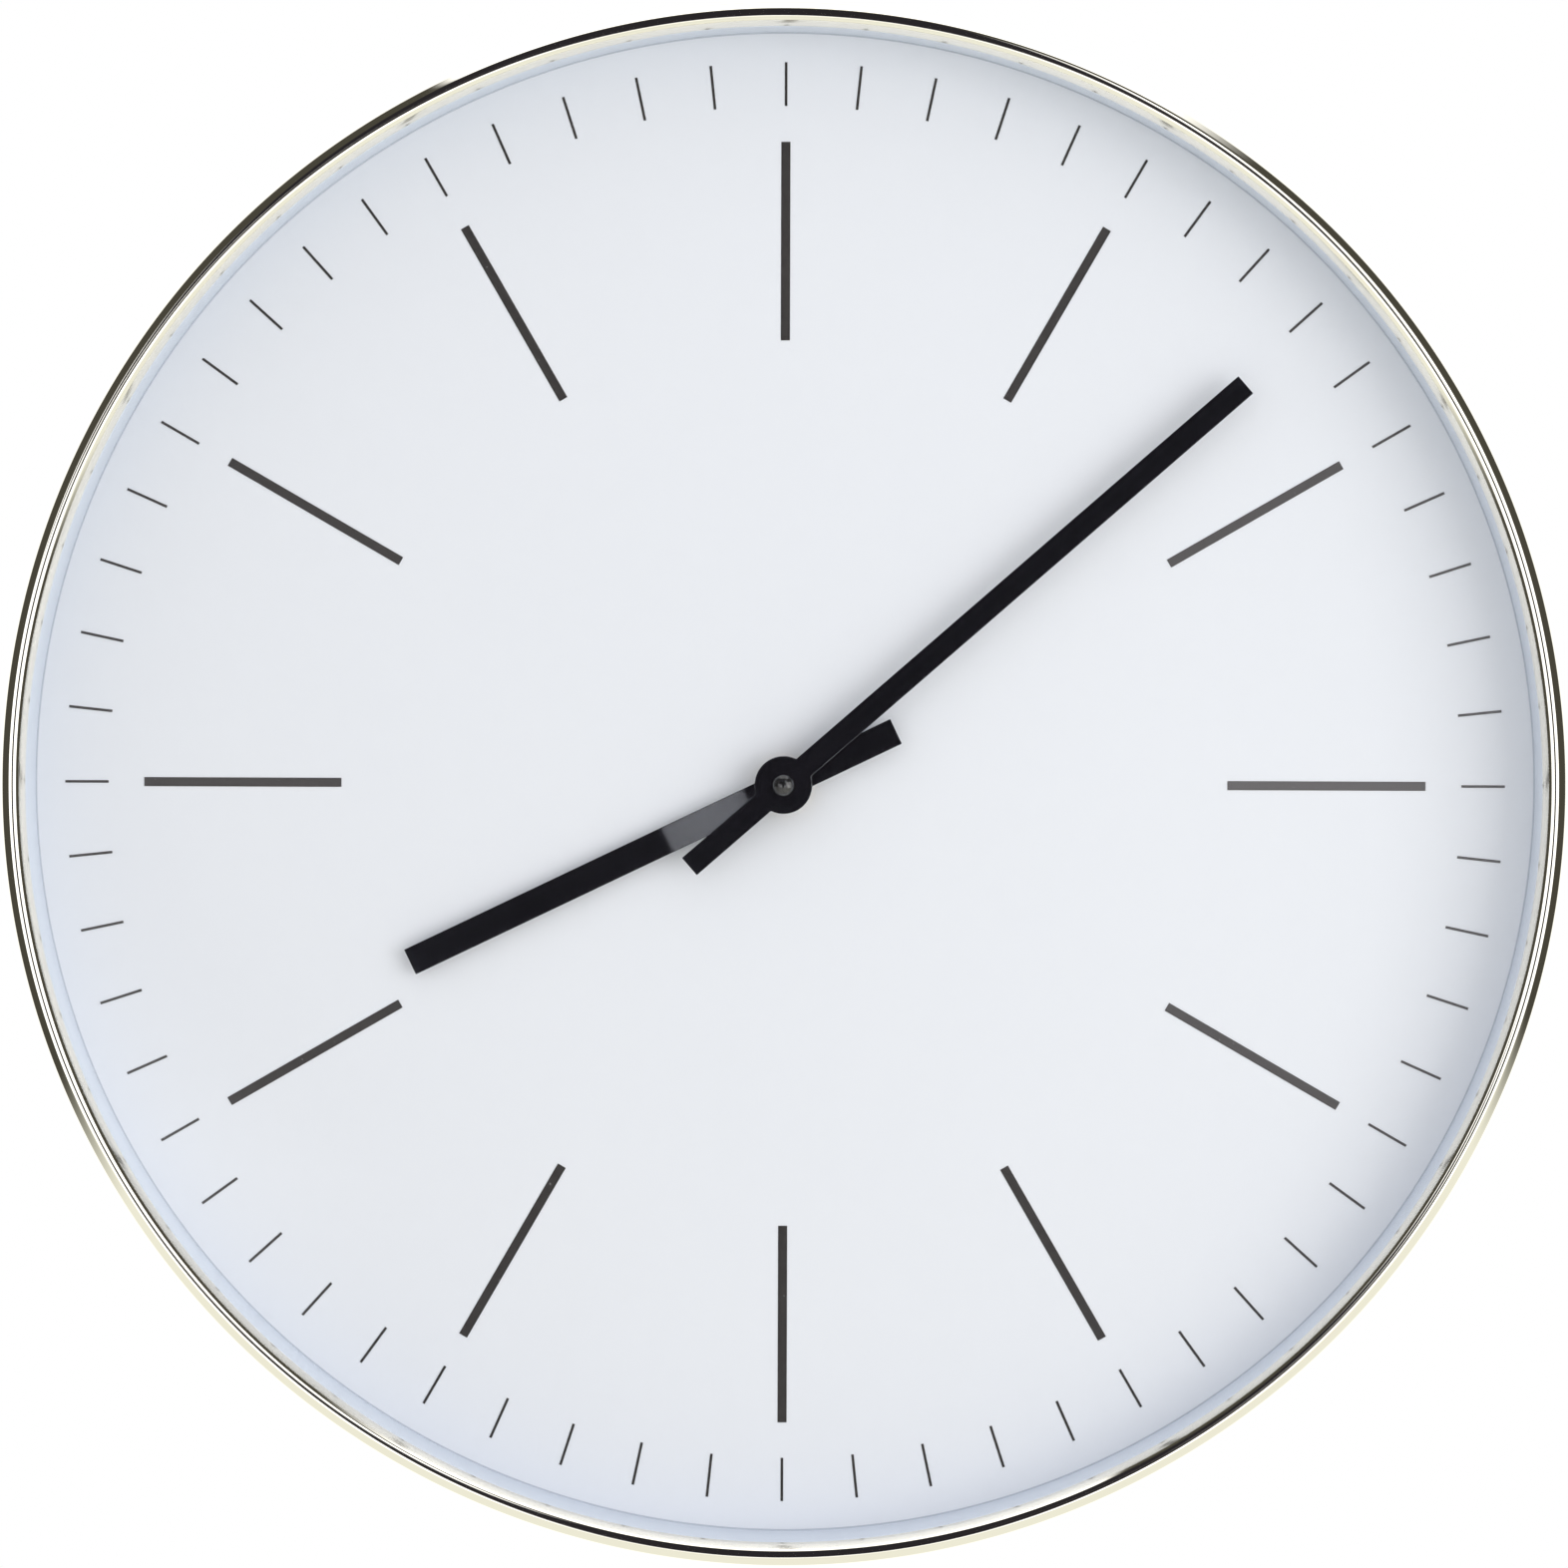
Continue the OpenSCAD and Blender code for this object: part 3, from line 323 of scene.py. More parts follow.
# ---------------------------------------------------------------------------
# Gear train. Natural acetal wheels on moulded arbors, running between the cover and the middle
# plate; the same resin makes the plate.
# ---------------------------------------------------------------------------
acetal = grained("natural acetal", (0.80, 0.79, 0.73), (0.74, 0.72, 0.65), 0.34, 4200.0, 0.01 * mm)
for node in ("middle_plate", "hour_wheel", "minute_arbor", "centre_wheel", "day_wheel", "setting_pinion",
             "third_wheel", "second_wheel", "intermediate_wheel", "rotor_pinion"):
    finish_node(node, acetal)
finish_node("plate_screws", screw_steel)

# ---------------------------------------------------------------------------
# Stepping motor and board. Bonded ferrite rotor, stamped soft-iron stator, a coil wound in
# enamelled copper on a green bobbin, and a small board with its crystal and chip.
# ---------------------------------------------------------------------------
ferrite = grained("bonded ferrite", (0.060, 0.060, 0.064), (0.085, 0.085, 0.09), 0.5, 5200.0, 0.02 * mm)
soft_iron = drawn_metal("stamped soft iron", (0.47, 0.47, 0.48), (0.38, 0.38, 0.38), 0.34,
                        (300, 300, 4200), 0.015 * mm)
bobbin_green = grained("green bobbin plastic", (0.03, 0.14, 0.07), (0.04, 0.17, 0.09), 0.4,
                       3000.0, 0.02 * mm)
copper_wire = drawn_metal("enamelled copper wire", (0.62, 0.24, 0.09), (0.48, 0.16, 0.05), 0.22,
                          (9000, 60, 60), 0.06 * mm)
board_green = grained("green solder mask", (0.02, 0.17, 0.06), (0.03, 0.21, 0.08), 0.28, 2200.0, 0.015 * mm)
crystal_can = drawn_metal("crystal can", (0.72, 0.72, 0.74), (0.62, 0.62, 0.64), 0.2,
                          (300, 300, 5200), 0.006 * mm)
chip_resin = grained("black chip resin", (0.008, 0.008, 0.008), (0.014, 0.014, 0.013), 0.3,
                     2600.0, 0.03 * mm)
for node, made in (("rotor_magnet", ferrite), ("stator", soft_iron), ("coil_bobbin", bobbin_green),
                   ("coil_winding", copper_wire), ("circuit_board", board_green),
                   ("quartz_crystal", crystal_can), ("driver_chip", chip_resin)):
    finish_node(node, made)

# ---------------------------------------------------------------------------
# Setting knob. A white moulded thumb knob with gripping flutes, pressed on the end of the setting
# shaft at the back of the movement.
# ---------------------------------------------------------------------------
knob_plastic = grained("white knob plastic", (0.79, 0.78, 0.74), (0.70, 0.69, 0.64), 0.38,
                       2800.0, 0.02 * mm)
piece("setting_knob", "thumb_knob", "setting_set", "knob_plastic", knob_plastic, 0.16 * mm, 28)

# ---------------------------------------------------------------------------
# Battery and its contacts. An AA cell: a drawn nickel-plated can in a printed shrink sleeve with
# plain colour bands, held between two nickel-plated spring strips.
# ---------------------------------------------------------------------------
nickel = drawn_metal("nickel plate", (0.70, 0.68, 0.64), (0.60, 0.58, 0.54), 0.2,
                     (3800, 300, 300), 0.008 * mm)
for node, name in (("contact_positive", "strip_positive"), ("contact_negative", "strip_negative")):
    piece(node, name, "case", "contact_steel", nickel, 0.06 * mm)


def turned(name, profile, place, steps=256, degrees=30):
    """A lathe-turned mesh: place(radius, height, angle) sets each profile point round its axis."""
    bm = bmesh.new()
    rings = []
    for radius, height in profile:
        if radius < 1e-7:
            rings.append([bm.verts.new(place(0.0, height, 0.0))])
        else:
            turns = [2 * math.pi * i / steps for i in range(steps)]
            rings.append([bm.verts.new(place(radius, height, angle)) for angle in turns])
    closed = profile[0][0] > 1e-7 and profile[-1][0] > 1e-7
    pairs = list(zip(rings, rings[1:])) + ([(rings[-1], rings[0])] if closed else [])
    for first, second in pairs:
        for i in range(steps):
            j = (i + 1) % steps
            around = ((first, i), (first, j), (second, j), (second, i))
            corners = [ring[k % len(ring)] for ring, k in around]
            bm.faces.new(list(dict.fromkeys(corners)))
    bmesh.ops.recalc_face_normals(bm, faces=bm.faces)
    crease(bm, degrees)
    mesh = bpy.data.meshes.new(name)
    bm.to_mesh(mesh)
    bm.free()
    obj = bpy.data.objects.new(name, mesh)
    bpy.context.scene.collection.objects.link(obj)
    return obj


def arc(centre, radius, start, end, steps):
    """Profile points along an arc, its angles in degrees from the radius direction."""
    turns = [math.radians(start + (end - start) * i / steps) for i in range(steps + 1)]
    return [(centre[0] + radius * math.cos(t), centre[1] + radius * math.sin(t)) for t in turns]


cell_low, cell_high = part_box("battery_cell")
sleeve_low, sleeve_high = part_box("battery_sleeve")
cell_axis = ((cell_low[1] + cell_high[1]) / 2, (cell_low[2] + cell_high[2]) / 2)
cell_r = (cell_high[2] - cell_low[2]) / 2
sleeve_r = (sleeve_high[2] - sleeve_low[2]) / 2


def on_cell(radius, height, angle):
    return (height, cell_axis[0] + radius * math.sin(angle), cell_axis[1] + radius * math.cos(angle))


nub_r = 2.7 * mm
shoulder = cell_low[0] + 1.3 * mm
can_profile = [(0, cell_low[0])]
can_profile += arc((nub_r - 0.4 * mm, cell_low[0] + 0.4 * mm), 0.4 * mm, -90, 0, 5)
can_profile += [(nub_r, shoulder), (cell_r - 0.9 * mm, shoulder)]
can_profile += arc((cell_r - 0.7 * mm, shoulder + 0.7 * mm), 0.7 * mm, -90, 0, 6)
can_profile += arc((cell_r - 0.7 * mm, cell_high[0] - 0.7 * mm), 0.7 * mm, 0, 90, 6)
dish = cell_high[0] - 0.25 * mm
can_profile += [(4.6 * mm, cell_high[0]), (4.3 * mm, dish), (0, dish)]
can = turned("cell_can", can_profile, on_cell, 128)
can.data.materials.append(nickel)
keep(can, "battery", "cell_steel", "battery_cell")

sleeve_profile = [(sleeve_r - 0.28 * mm, sleeve_low[0])]
sleeve_profile += arc((sleeve_r - 0.12 * mm, sleeve_low[0] + 0.12 * mm), 0.12 * mm, -90, 0, 4)
sleeve_profile += arc((sleeve_r - 0.12 * mm, sleeve_high[0] - 0.12 * mm), 0.12 * mm, 0, 90, 4)
sleeve_profile += [(sleeve_r - 0.28 * mm, sleeve_high[0])]
sleeve = turned("cell_sleeve", sleeve_profile, on_cell, 128)
# Printed bands along the cell: a copper-coloured end, a thin pale line, then dark blue-grey
cell_print, tree, shader = material("printed cell sleeve", (0.05, 0.06, 0.08), 0.24,
                                    Coat_Weight=0.5, Coat_Roughness=0.12)
grain = use_group(tree, moulded_grain, Color=(0.045, 0.055, 0.075, 1), Drift_Color=(0.065, 0.075, 0.10, 1),
                  Grain_Scale=1500.0, Roughness=0.26, Roughness_Range=0.12)
along = tree.nodes.new("ShaderNodeSeparateXYZ")
tree.links.new(tree.nodes.new("ShaderNodeTexCoord").outputs["Object"], along.inputs[0])
copper_end = sleeve_low[0] + 12.0 * mm
line_end = copper_end + 0.7 * mm
in_copper = spread(tree, along.outputs["X"], copper_end - 0.1 * mm, copper_end, 1.0, 0.0)
up_to_line = spread(tree, along.outputs["X"], line_end - 0.1 * mm, line_end, 1.0, 0.0)
in_line = calc(tree, "SUBTRACT", up_to_line, in_copper)
banded = blend_color(tree, in_line, grain.outputs["Color"], (0.72, 0.70, 0.64, 1))
banded = blend_color(tree, in_copper, banded, (0.55, 0.25, 0.10, 1))
tree.links.new(banded, shader.inputs["Base Color"])
tree.links.new(grain.outputs["Roughness"], shader.inputs["Roughness"])
raise_grain(tree, shader, grain.outputs["Height"], 0.01 * mm)
sleeve.data.materials.append(cell_print)
keep(sleeve, "battery", "cell_sleeve", "battery_sleeve")

# ---------------------------------------------------------------------------
# Dial board. A round of pressed hardboard that stiffens the dial, clamped between the rear
# case's wall and the spacer ring.
# ---------------------------------------------------------------------------


def on_face(radius, height, angle):
    """A point round the hands' axis: height is measured out of the wall."""
    return (axis_x + radius * math.sin(angle), -height, axis_z + radius * math.cos(angle))


def node_radius(node):
    low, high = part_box(node)
    return (high[2] - low[2]) / 2


def axis_place(tree):
    """A surface point, how far it lies aside of and above the hands' axis, and from the axis."""
    point = tree.nodes.new("ShaderNodeTexCoord").outputs["Object"]
    place = tree.nodes.new("ShaderNodeSeparateXYZ")
    tree.links.new(point, place.inputs[0])
    aside = calc(tree, "SUBTRACT", place.outputs["X"], axis_x)
    above = calc(tree, "SUBTRACT", place.outputs["Z"], axis_z)
    squares = calc(tree, "MULTIPLY_ADD", aside, aside, calc(tree, "MULTIPLY", above, above))
    return place, aside, above, calc(tree, "SQRT", squares)


round_steps = 720
held_r = node_radius("dial_board") - 0.02 * mm
hole_r = 3.7 * mm
dial_edge_r = held_r - 3.6 * mm
hardboard = grained("pressed hardboard", (0.30, 0.19, 0.11), (0.20, 0.12, 0.07), 0.7, 900.0, 0.12 * mm)
back, front = wall_height("dial_board", 0), wall_height("dial_board", 1)
board = turned("board_round", [(hole_r, back), (held_r - 0.3 * mm, back), (held_r, back + 0.3 * mm),
                               (held_r, front), (hole_r, front)], on_face, 360)
board.data.materials.append(hardboard)
keep(board, "case", "fibreboard", "dial_board")

# ---------------------------------------------------------------------------
# Dial sheet. Cool white card with a faint tooth, glued to the board, with its bars and minute
# marks screen-printed in a warm near-black ink.
# ---------------------------------------------------------------------------
dial_card, tree, shader = material("dial card", (0.80, 0.835, 0.87), 0.55, Specular_IOR_Level=0.3)
grain = use_group(tree, moulded_grain, Color=(0.803, 0.826, 0.868, 1), Drift_Color=(0.820, 0.841, 0.880, 1),
                  Grain_Scale=1400.0, Roughness=0.58, Roughness_Range=0.08)
fibres = use_group(tree, drawn_lines, Color=(1, 1, 1, 1), Line_Color=(0.972, 0.976, 0.982, 1),
                   Stretch=(900, 900, 260), Roughness=0.5, Roughness_Range=0.1)
toothed = tree.nodes.new("ShaderNodeMix")
toothed.data_type = "RGBA"
toothed.blend_type = "MULTIPLY"
toothed.inputs["Factor"].default_value = 1.0
tree.links.new(grain.outputs["Color"], toothed.inputs["A"])
tree.links.new(fibres.outputs["Color"], toothed.inputs["B"])
# Painted shadow: the card darkens to a fine line where its edge runs under the spacer ring, standing for
# the shade in the seam
from_axis = axis_place(tree)[-1]
painted_seam_shadow = spread(tree, from_axis, dial_edge_r - 0.30 * mm, dial_edge_r - 0.12 * mm, 0.0, 0.75)
seam_shadowed_card = blend_color(tree, painted_seam_shadow, toothed.outputs["Result"], (0.46, 0.50, 0.57, 1))
tree.links.new(seam_shadowed_card, shader.inputs["Base Color"])
tree.links.new(grain.outputs["Roughness"], shader.inputs["Roughness"])
raise_grain(tree, shader, calc(tree, "ADD", grain.outputs["Height"], fibres.outputs["Height"]), 0.012 * mm)
back, front = wall_height("dial_face", 0), wall_height("dial_face", 1)
dial = turned("dial_sheet", [(hole_r, back), (held_r, back), (held_r, front - 0.05 * mm),
                             (held_r - 0.05 * mm, front), (hole_r, front)], on_face, round_steps)
dial.data.materials.append(dial_card)
keep(dial, "case", "dial_card", "dial_face")

# The ink sits a little proud of the card and carries a few pale pinholes where the screen missed
ink, tree, shader = material("screen ink", (0.030, 0.025, 0.023), 0.5)
grain = use_group(tree, moulded_grain, Color=(0.024, 0.0205, 0.0195, 1),
                  Drift_Color=(0.034, 0.029, 0.028, 1), Grain_Scale=2400.0,
                  Roughness=0.48, Roughness_Range=0.12)
specks = noise(tree, tree.nodes.new("ShaderNodeTexCoord").outputs["Object"], 1500.0, 1.0)
pinholes = spread(tree, specks, 0.76, 0.80, 0.0, 0.6)
# Painted highlight: the marks that lie level print paler, most at 3 and a little at 9, standing for glare
# where the light falls on them
_, aside, _, from_axis = axis_place(tree)
level = calc(tree, "DIVIDE", aside, from_axis)
toward_3 = calc(tree, "POWER", calc(tree, "MAXIMUM", level, 0.0), 4.0)
toward_9 = calc(tree, "POWER", calc(tree, "MAXIMUM", calc(tree, "MULTIPLY", level, -1.0), 0.0), 6.0)
painted_glare_share = calc(tree, "MULTIPLY_ADD", toward_9, 0.10, calc(tree, "MULTIPLY", toward_3, 0.26))
glare_paled_ink = blend_color(tree, painted_glare_share, grain.outputs["Color"], (0.40, 0.39, 0.41, 1))
tree.links.new(blend_color(tree, pinholes, glare_paled_ink, (0.45, 0.45, 0.45, 1)), shader.inputs["Base Color"])
tree.links.new(grain.outputs["Roughness"], shader.inputs["Roughness"])
raise_grain(tree, shader, grain.outputs["Height"], 0.01 * mm)
for node in ("hour_marks", "minute_marks"):
    finish_node(node, ink)

# ---------------------------------------------------------------------------
# Nut and washers. The bushing is clamped to the board by a turned brass nut over a brass washer,
# with a rubber washer behind the board.
# ---------------------------------------------------------------------------
brass = drawn_metal("turned brass", (0.74, 0.54, 0.24), (0.62, 0.43, 0.17), 0.22,
                    (3200, 3200, 3200), 0.008 * mm)
for node, name in (("hex_nut", "dial_nut"), ("brass_washer", "nut_washer")):
    piece(node, name, "case", "brass", brass, 0.1 * mm)
washer_rubber = grained("black washer rubber", (0.016, 0.016, 0.016), (0.026, 0.026, 0.025), 0.72,
                        1800.0, 0.04 * mm)
finish_node("rubber_washer", washer_rubber)

# ---------------------------------------------------------------------------
# Hour hand. Stamped from thin aluminium, its blade set down towards the dial, and lacquered
# gloss black. Stamping leaves the top edges slightly rolled.
# ---------------------------------------------------------------------------
hub_r = 5.55 * mm
tail = 24.0 * mm


def rest_turn(node):
    """Clockwise angle from 12 at which a hand's blade lies at rest, and its reach."""
    spots = [Vector((v.co.x - axis_x, v.co.z - axis_z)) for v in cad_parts[node].data.vertices]
    far = max(spots, key=lambda spot: spot.length)
    tips = [spot for spot in spots if (spot - far).length < 7 * mm and spot.length > far.length - 0.3 * mm]
    middle = sum(tips, Vector((0, 0))) / len(tips)
    return math.atan2(middle.x, middle.y), middle.length


def stamped_hand(name, node, width, bore_r, seat, thickness, drop):
    """A straight hand: blade, disc and tail in one outline, pierced, thickened and set down."""
    turn, reach = rest_turn(node)
    half = width / 2
    bm = bmesh.new()
    meet = math.asin(half / hub_r)
    steps = 40
    round_disc = [meet + (math.pi - 2 * meet) * i / steps for i in range(steps + 1)]
    outline = [(half, reach), (-half, reach)]
    outline += [(-hub_r * math.sin(t), hub_r * math.cos(t)) for t in round_disc]
    outline += [(-half, -tail), (half, -tail)]
    outline += [(hub_r * math.sin(t), hub_r * math.cos(t)) for t in reversed(round_disc)]
    bore_steps = 48
    bore_turns = [2 * math.pi * i / bore_steps for i in range(bore_steps)]
    bore = [(bore_r * math.sin(t), bore_r * math.cos(t)) for t in bore_turns]
    for loop in (outline, bore):
        verts = [bm.verts.new((x, y, 0)) for x, y in loop]
        for first, second in zip(verts, verts[1:] + verts[:1]):
            bm.edges.new((first, second))
    bmesh.ops.triangle_fill(bm, use_beauty=True, use_dissolve=True, edges=bm.edges)
    stations = 60
    for i in range(1, stations):
        station = hub_r + i * (reach - hub_r) / stations
        bmesh.ops.bisect_plane(bm, geom=bm.verts[:] + bm.edges[:] + bm.faces[:],
                               plane_co=(0, station, 0), plane_no=(0, 1, 0))
    grown = bmesh.ops.extrude_face_region(bm, geom=bm.faces[:])
    for vert in (g for g in grown["geom"] if isinstance(g, bmesh.types.BMVert)):
        vert.co.z = thickness
    for vert in bm.verts:
        x, y, height = vert.co
        height += seat - drop(y - hub_r)
        side = x * math.cos(turn) + y * math.sin(turn)
        up = y * math.cos(turn) - x * math.sin(turn)
        vert.co = (axis_x + side, -height, axis_z + up)
    bmesh.ops.recalc_face_normals(bm, faces=bm.faces)
    crease(bm, 30)
    mesh = bpy.data.meshes.new(name)
    bm.to_mesh(mesh)
    bm.free()
    obj = bpy.data.objects.new(name, mesh)
    bpy.context.scene.collection.objects.link(obj)
    bevel = obj.modifiers.new("rolled edges", "BEVEL")
    bevel.width = 0.14 * mm
    bevel.segments = 3
    bevel.limit_method = "ANGLE"
    bevel.angle_limit = math.radians(40)
    return obj


bend_length = 20.0 * mm
hand_drop = 1.1 * mm
knee_ease = 0.12


def set_down(along):
    """Drop of the hour hand's blade: a soft knee, a straight slope and a soft return to level."""
    share = min(max(along / bend_length, 0.0), 1.0)
    return hand_drop * (share - knee_ease * math.sin(2 * math.pi * share) / (2 * math.pi))


gloss_lacquer, tree, shader = material("gloss black lacquer", (0.004, 0.004, 0.005), 0.08, IOR=1.62,
                                       Coat_Weight=1.0, Coat_Roughness=0.03,
                                       Specular_Tint=(0.80, 0.84, 1.0, 1))
grain = use_group(tree, moulded_grain, Color=(0.004, 0.0038, 0.0054, 1),
                  Drift_Color=(0.007, 0.0068, 0.0088, 1), Grain_Scale=600.0,
                  Roughness=0.07, Roughness_Range=0.06)
tree.links.new(grain.outputs["Color"], shader.inputs["Base Color"])
tree.links.new(grain.outputs["Roughness"], shader.inputs["Roughness"])
orange_peel = noise(tree, tree.nodes.new("ShaderNodeTexCoord").outputs["Object"], 420.0, 2.0, 0.5)
raise_grain(tree, shader, orange_peel, 0.006 * mm)
sheet = 0.6 * mm
hour_blade = stamped_hand("hour_blade", "hour_hand", width=5.3 * mm, bore_r=2.5 * mm,
                          seat=wall_height("hour_hand", 1) - sheet, thickness=sheet, drop=set_down)
hour_blade.data.materials.append(gloss_lacquer)
keep(hour_blade, "hour_set", "hand_black", "hour_hand")

# ---------------------------------------------------------------------------
# Minute hand. The same stamping in the same lacquer, longer, narrower and flat, pressed on the
# minute arbor above the hour hand.
# ---------------------------------------------------------------------------
minute_blade = stamped_hand("minute_blade", "minute_hand", width=4.4 * mm, bore_r=1.7 * mm,
                            seat=wall_height("minute_hand", 1) - sheet, thickness=sheet,
                            drop=lambda along: 0.0)
minute_blade.data.materials.append(gloss_lacquer)
keep(minute_blade, "minute_set", "hand_black", "minute_hand")

# ---------------------------------------------------------------------------
# Cap. A small moulded black button with a domed top, pressed over the end of the minute arbor,
# and a little glossier than the hands.
# ---------------------------------------------------------------------------
cap_r = node_radius("hand_cap")
back, front = wall_height("hand_cap", 0), wall_height("hand_cap", 1)
shoulder = back + 0.55 * mm
arbor_hole_r = 1.75 * mm
hole_end = back + 0.3 * mm
cap_profile = [(0, hole_end), (arbor_hole_r, hole_end), (arbor_hole_r, back)]
cap_profile += [(cap_r - 0.05 * mm, back), (cap_r, back + 0.05 * mm), (cap_r, shoulder)]
dome_steps = 16
dome_turns = [math.pi / 2 * i / dome_steps for i in range(1, dome_steps)]
cap_profile += [(cap_r * math.cos(t), shoulder + (front - shoulder) * math.sin(t)) for t in dome_turns]
cap_profile += [(0, front)]
cap = turned("arbor_cap", cap_profile, on_face, 96)
cap_gloss = grained("gloss black button", (0.006, 0.006, 0.007), (0.010, 0.010, 0.011), 0.05, 900.0,
                    0.001 * mm, 0.03, Coat_Weight=1.0, Coat_Roughness=0.03)
cap.data.materials.append(cap_gloss)
keep(cap, "minute_set", "cap_black", "hand_cap")

# ---------------------------------------------------------------------------
# Spacer ring. Cool white satin plastic between the dial and the glass, drafted so that it leans
# back towards the glass.
# ---------------------------------------------------------------------------
back, front = wall_height("spacer_ring", 0), wall_height("spacer_ring", 1)
ring_profile = [(held_r, back), (held_r, front), (dial_edge_r + 1.0 * mm, front)]
ring_profile += arc((dial_edge_r + 1.0 * mm, front - 0.25 * mm), 0.25 * mm, 90, 176, 5)
ring_profile += [(dial_edge_r + 0.06 * mm, back + 0.3 * mm), (dial_edge_r + 0.12 * mm, back)]
ring = turned("spacer", ring_profile, on_face, round_steps)
ring_plastic = grained("cool white ring plastic", (0.66, 0.72, 0.82), (0.70, 0.76, 0.84), 0.36,
                       2000.0, 0.012 * mm)
ring.data.materials.append(ring_plastic)
keep(ring, "case", "white_plastic", "spacer_ring")

# ---------------------------------------------------------------------------
# Glass. A flat 2 mm float glass round with ground edges, laid against the rim's lip from behind
# and a hair thinner than its seat, so that no two faces share a plane.
# ---------------------------------------------------------------------------
hair = 0.01 * mm
back, front = wall_height("glass_lens", 0) + hair, wall_height("glass_lens", 1) - hair
ground = 0.25 * mm
glass_profile = [(0, back), (held_r - ground, back), (held_r, back + ground)]
glass_profile += [(held_r, front - ground), (held_r - ground, front), (0, front)]
glass = turned("dial_glass", glass_profile, on_face, round_steps, 20)
clear, tree, shader = material("float glass", (0.990, 0.993, 0.995), 0.0, IOR=1.5, Transmission_Weight=1.0)
# Light and shadow pass straight through the pane; only what looks at it sees the gloss
passing = tree.nodes.new("ShaderNodeLightPath")
straight = tree.nodes.new("ShaderNodeBsdfTransparent")
straight.inputs["Color"].default_value = (0.955, 0.955, 0.96, 1)
choose = tree.nodes.new("ShaderNodeMixShader")
either = calc(tree, "MAXIMUM", passing.outputs["Is Shadow Ray"], passing.outputs["Is Diffuse Ray"])
tree.links.new(either, choose.inputs["Fac"])
tree.links.new(shader.outputs["BSDF"], choose.inputs[1])
tree.links.new(straight.outputs["BSDF"], choose.inputs[2])
tree.links.new(choose.outputs["Shader"], tree.nodes["Material Output"].inputs["Surface"])
smears = noise(tree, tree.nodes.new("ShaderNodeTexCoord").outputs["Object"], 9.0, 4.0, 0.6)
tree.links.new(spread(tree, smears, 0.45, 0.75, 0.0, 0.025), shader.inputs["Roughness"])
glass.data.materials.append(clear)
keep(glass, "case", "glass", "glass_lens")

# ---------------------------------------------------------------------------
# Rim. Spun from aluminium over a former, its front edge rolled in to a round bead that holds the
# glass, then polished and tinted a pale champagne. Six flush screws hold it to the rear case.
# ---------------------------------------------------------------------------
rim_r = node_radius("case_rim")
rim_back, rim_crest = wall_height("case_rim", 0), wall_height("case_rim", 1)
wall = 1.2 * mm
bead_r = 2.35 * mm
bead_at = (rim_r - bead_r, rim_crest - bead_r)
lip_end = wall_height("glass_lens", 1)
lip_r = rim_r - 2 * bead_r
# Past the crest the bead tucks in on a tighter arc, then slopes straight to the lip over the glass
shoulder_tilt = 20
tuck_tilt = 57
tuck_r = 1.15 * mm
tuck_at = (bead_at[0] - (bead_r - tuck_r) * math.sin(math.radians(shoulder_tilt)),
           bead_at[1] + (bead_r - tuck_r) * math.cos(math.radians(shoulder_tilt)))
rim_profile = [(rim_r - 0.25 * mm, rim_back), (rim_r, rim_back + 0.25 * mm)]
rim_profile += arc(bead_at, bead_r, 0, 90 + shoulder_tilt, 44)
rim_profile += arc(tuck_at, tuck_r, 90 + shoulder_tilt, 90 + tuck_tilt, 20)
rim_profile += [(lip_r, bead_at[1] + 0.25 * mm), (lip_r, lip_end + 0.1 * mm), (lip_r + 0.1 * mm, lip_end)]
rim_profile += [(lip_r + wall, lip_end)]
rim_profile += arc(bead_at, bead_r - wall, 180, 0, 20)
rim_profile += [(rim_r - wall, rim_back)]
rim = turned("rim", rim_profile, on_face, round_steps, 35)
champagne, tree, shader = material("polished champagne metal", (0.90, 0.875, 0.80), 0.05, metallic=1.0)
polish_haze = noise(tree, tree.nodes.new("ShaderNodeTexCoord").outputs["Object"], 38.0, 4.0, 0.6)
place, aside, above, from_axis = axis_place(tree)
# Lathe lines: fine across the bead, and drawn out a long way round it
lines_per_metre = 5200.0
lathe_line = tree.nodes.new("ShaderNodeCombineXYZ")
tree.links.new(calc(tree, "MULTIPLY", from_axis, lines_per_metre), lathe_line.inputs["X"])
tree.links.new(calc(tree, "MULTIPLY", place.outputs["Y"], lines_per_metre), lathe_line.inputs["Y"])
tree.links.new(calc(tree, "MULTIPLY", calc(tree, "ARCTAN2", aside, above), 6.0), lathe_line.inputs["Z"])
lines = noise(tree, lathe_line.outputs["Vector"], 1.0, 2.0, 0.5)
tinted = blend_color(tree, polish_haze, (0.915, 0.89, 0.82, 1), (0.885, 0.855, 0.775, 1))
tree.links.new(tinted, shader.inputs["Base Color"])
glossy = calc(tree, "MULTIPLY_ADD", polish_haze, 0.05, 0.02)
on_lip = spread(tree, from_axis, lip_r + 0.75 * mm, lip_r + 1.0 * mm, 0.12, 0.0)
tree.links.new(calc(tree, "ADD", glossy, on_lip), shader.inputs["Roughness"])
raise_grain(tree, shader, lines, 0.0012 * mm)
rim.data.materials.append(champagne)
keep(rim, "case", "rim_metal", "case_rim")
piece("rim_screws", "side_screws", "case", "screw_steel", screw_steel, 0.08 * mm)

# ---------------------------------------------------------------------------
# Studio. A pale floor well below the clock, a key light from the right and an even soft dome.
# Polished metal and glass mirror white panels with dark gaps, as a product photographer sets them.
# ---------------------------------------------------------------------------
floor_z = cad_box[0][2] - 0.20
bpy.ops.mesh.primitive_grid_add(x_subdivisions=24, y_subdivisions=24, size=1.0, location=(0, 0, floor_z))
floor = bpy.context.object
floor.name = "floor"
floor.scale = (3.0, 2.4, 1.0)
floor_paint = grained("pale studio floor", (0.80, 0.79, 0.72), (0.77, 0.76, 0.69), 0.6, 400.0, 0.05 * mm)
floor.data.materials.append(floor_paint)
floor.visible_glossy = False

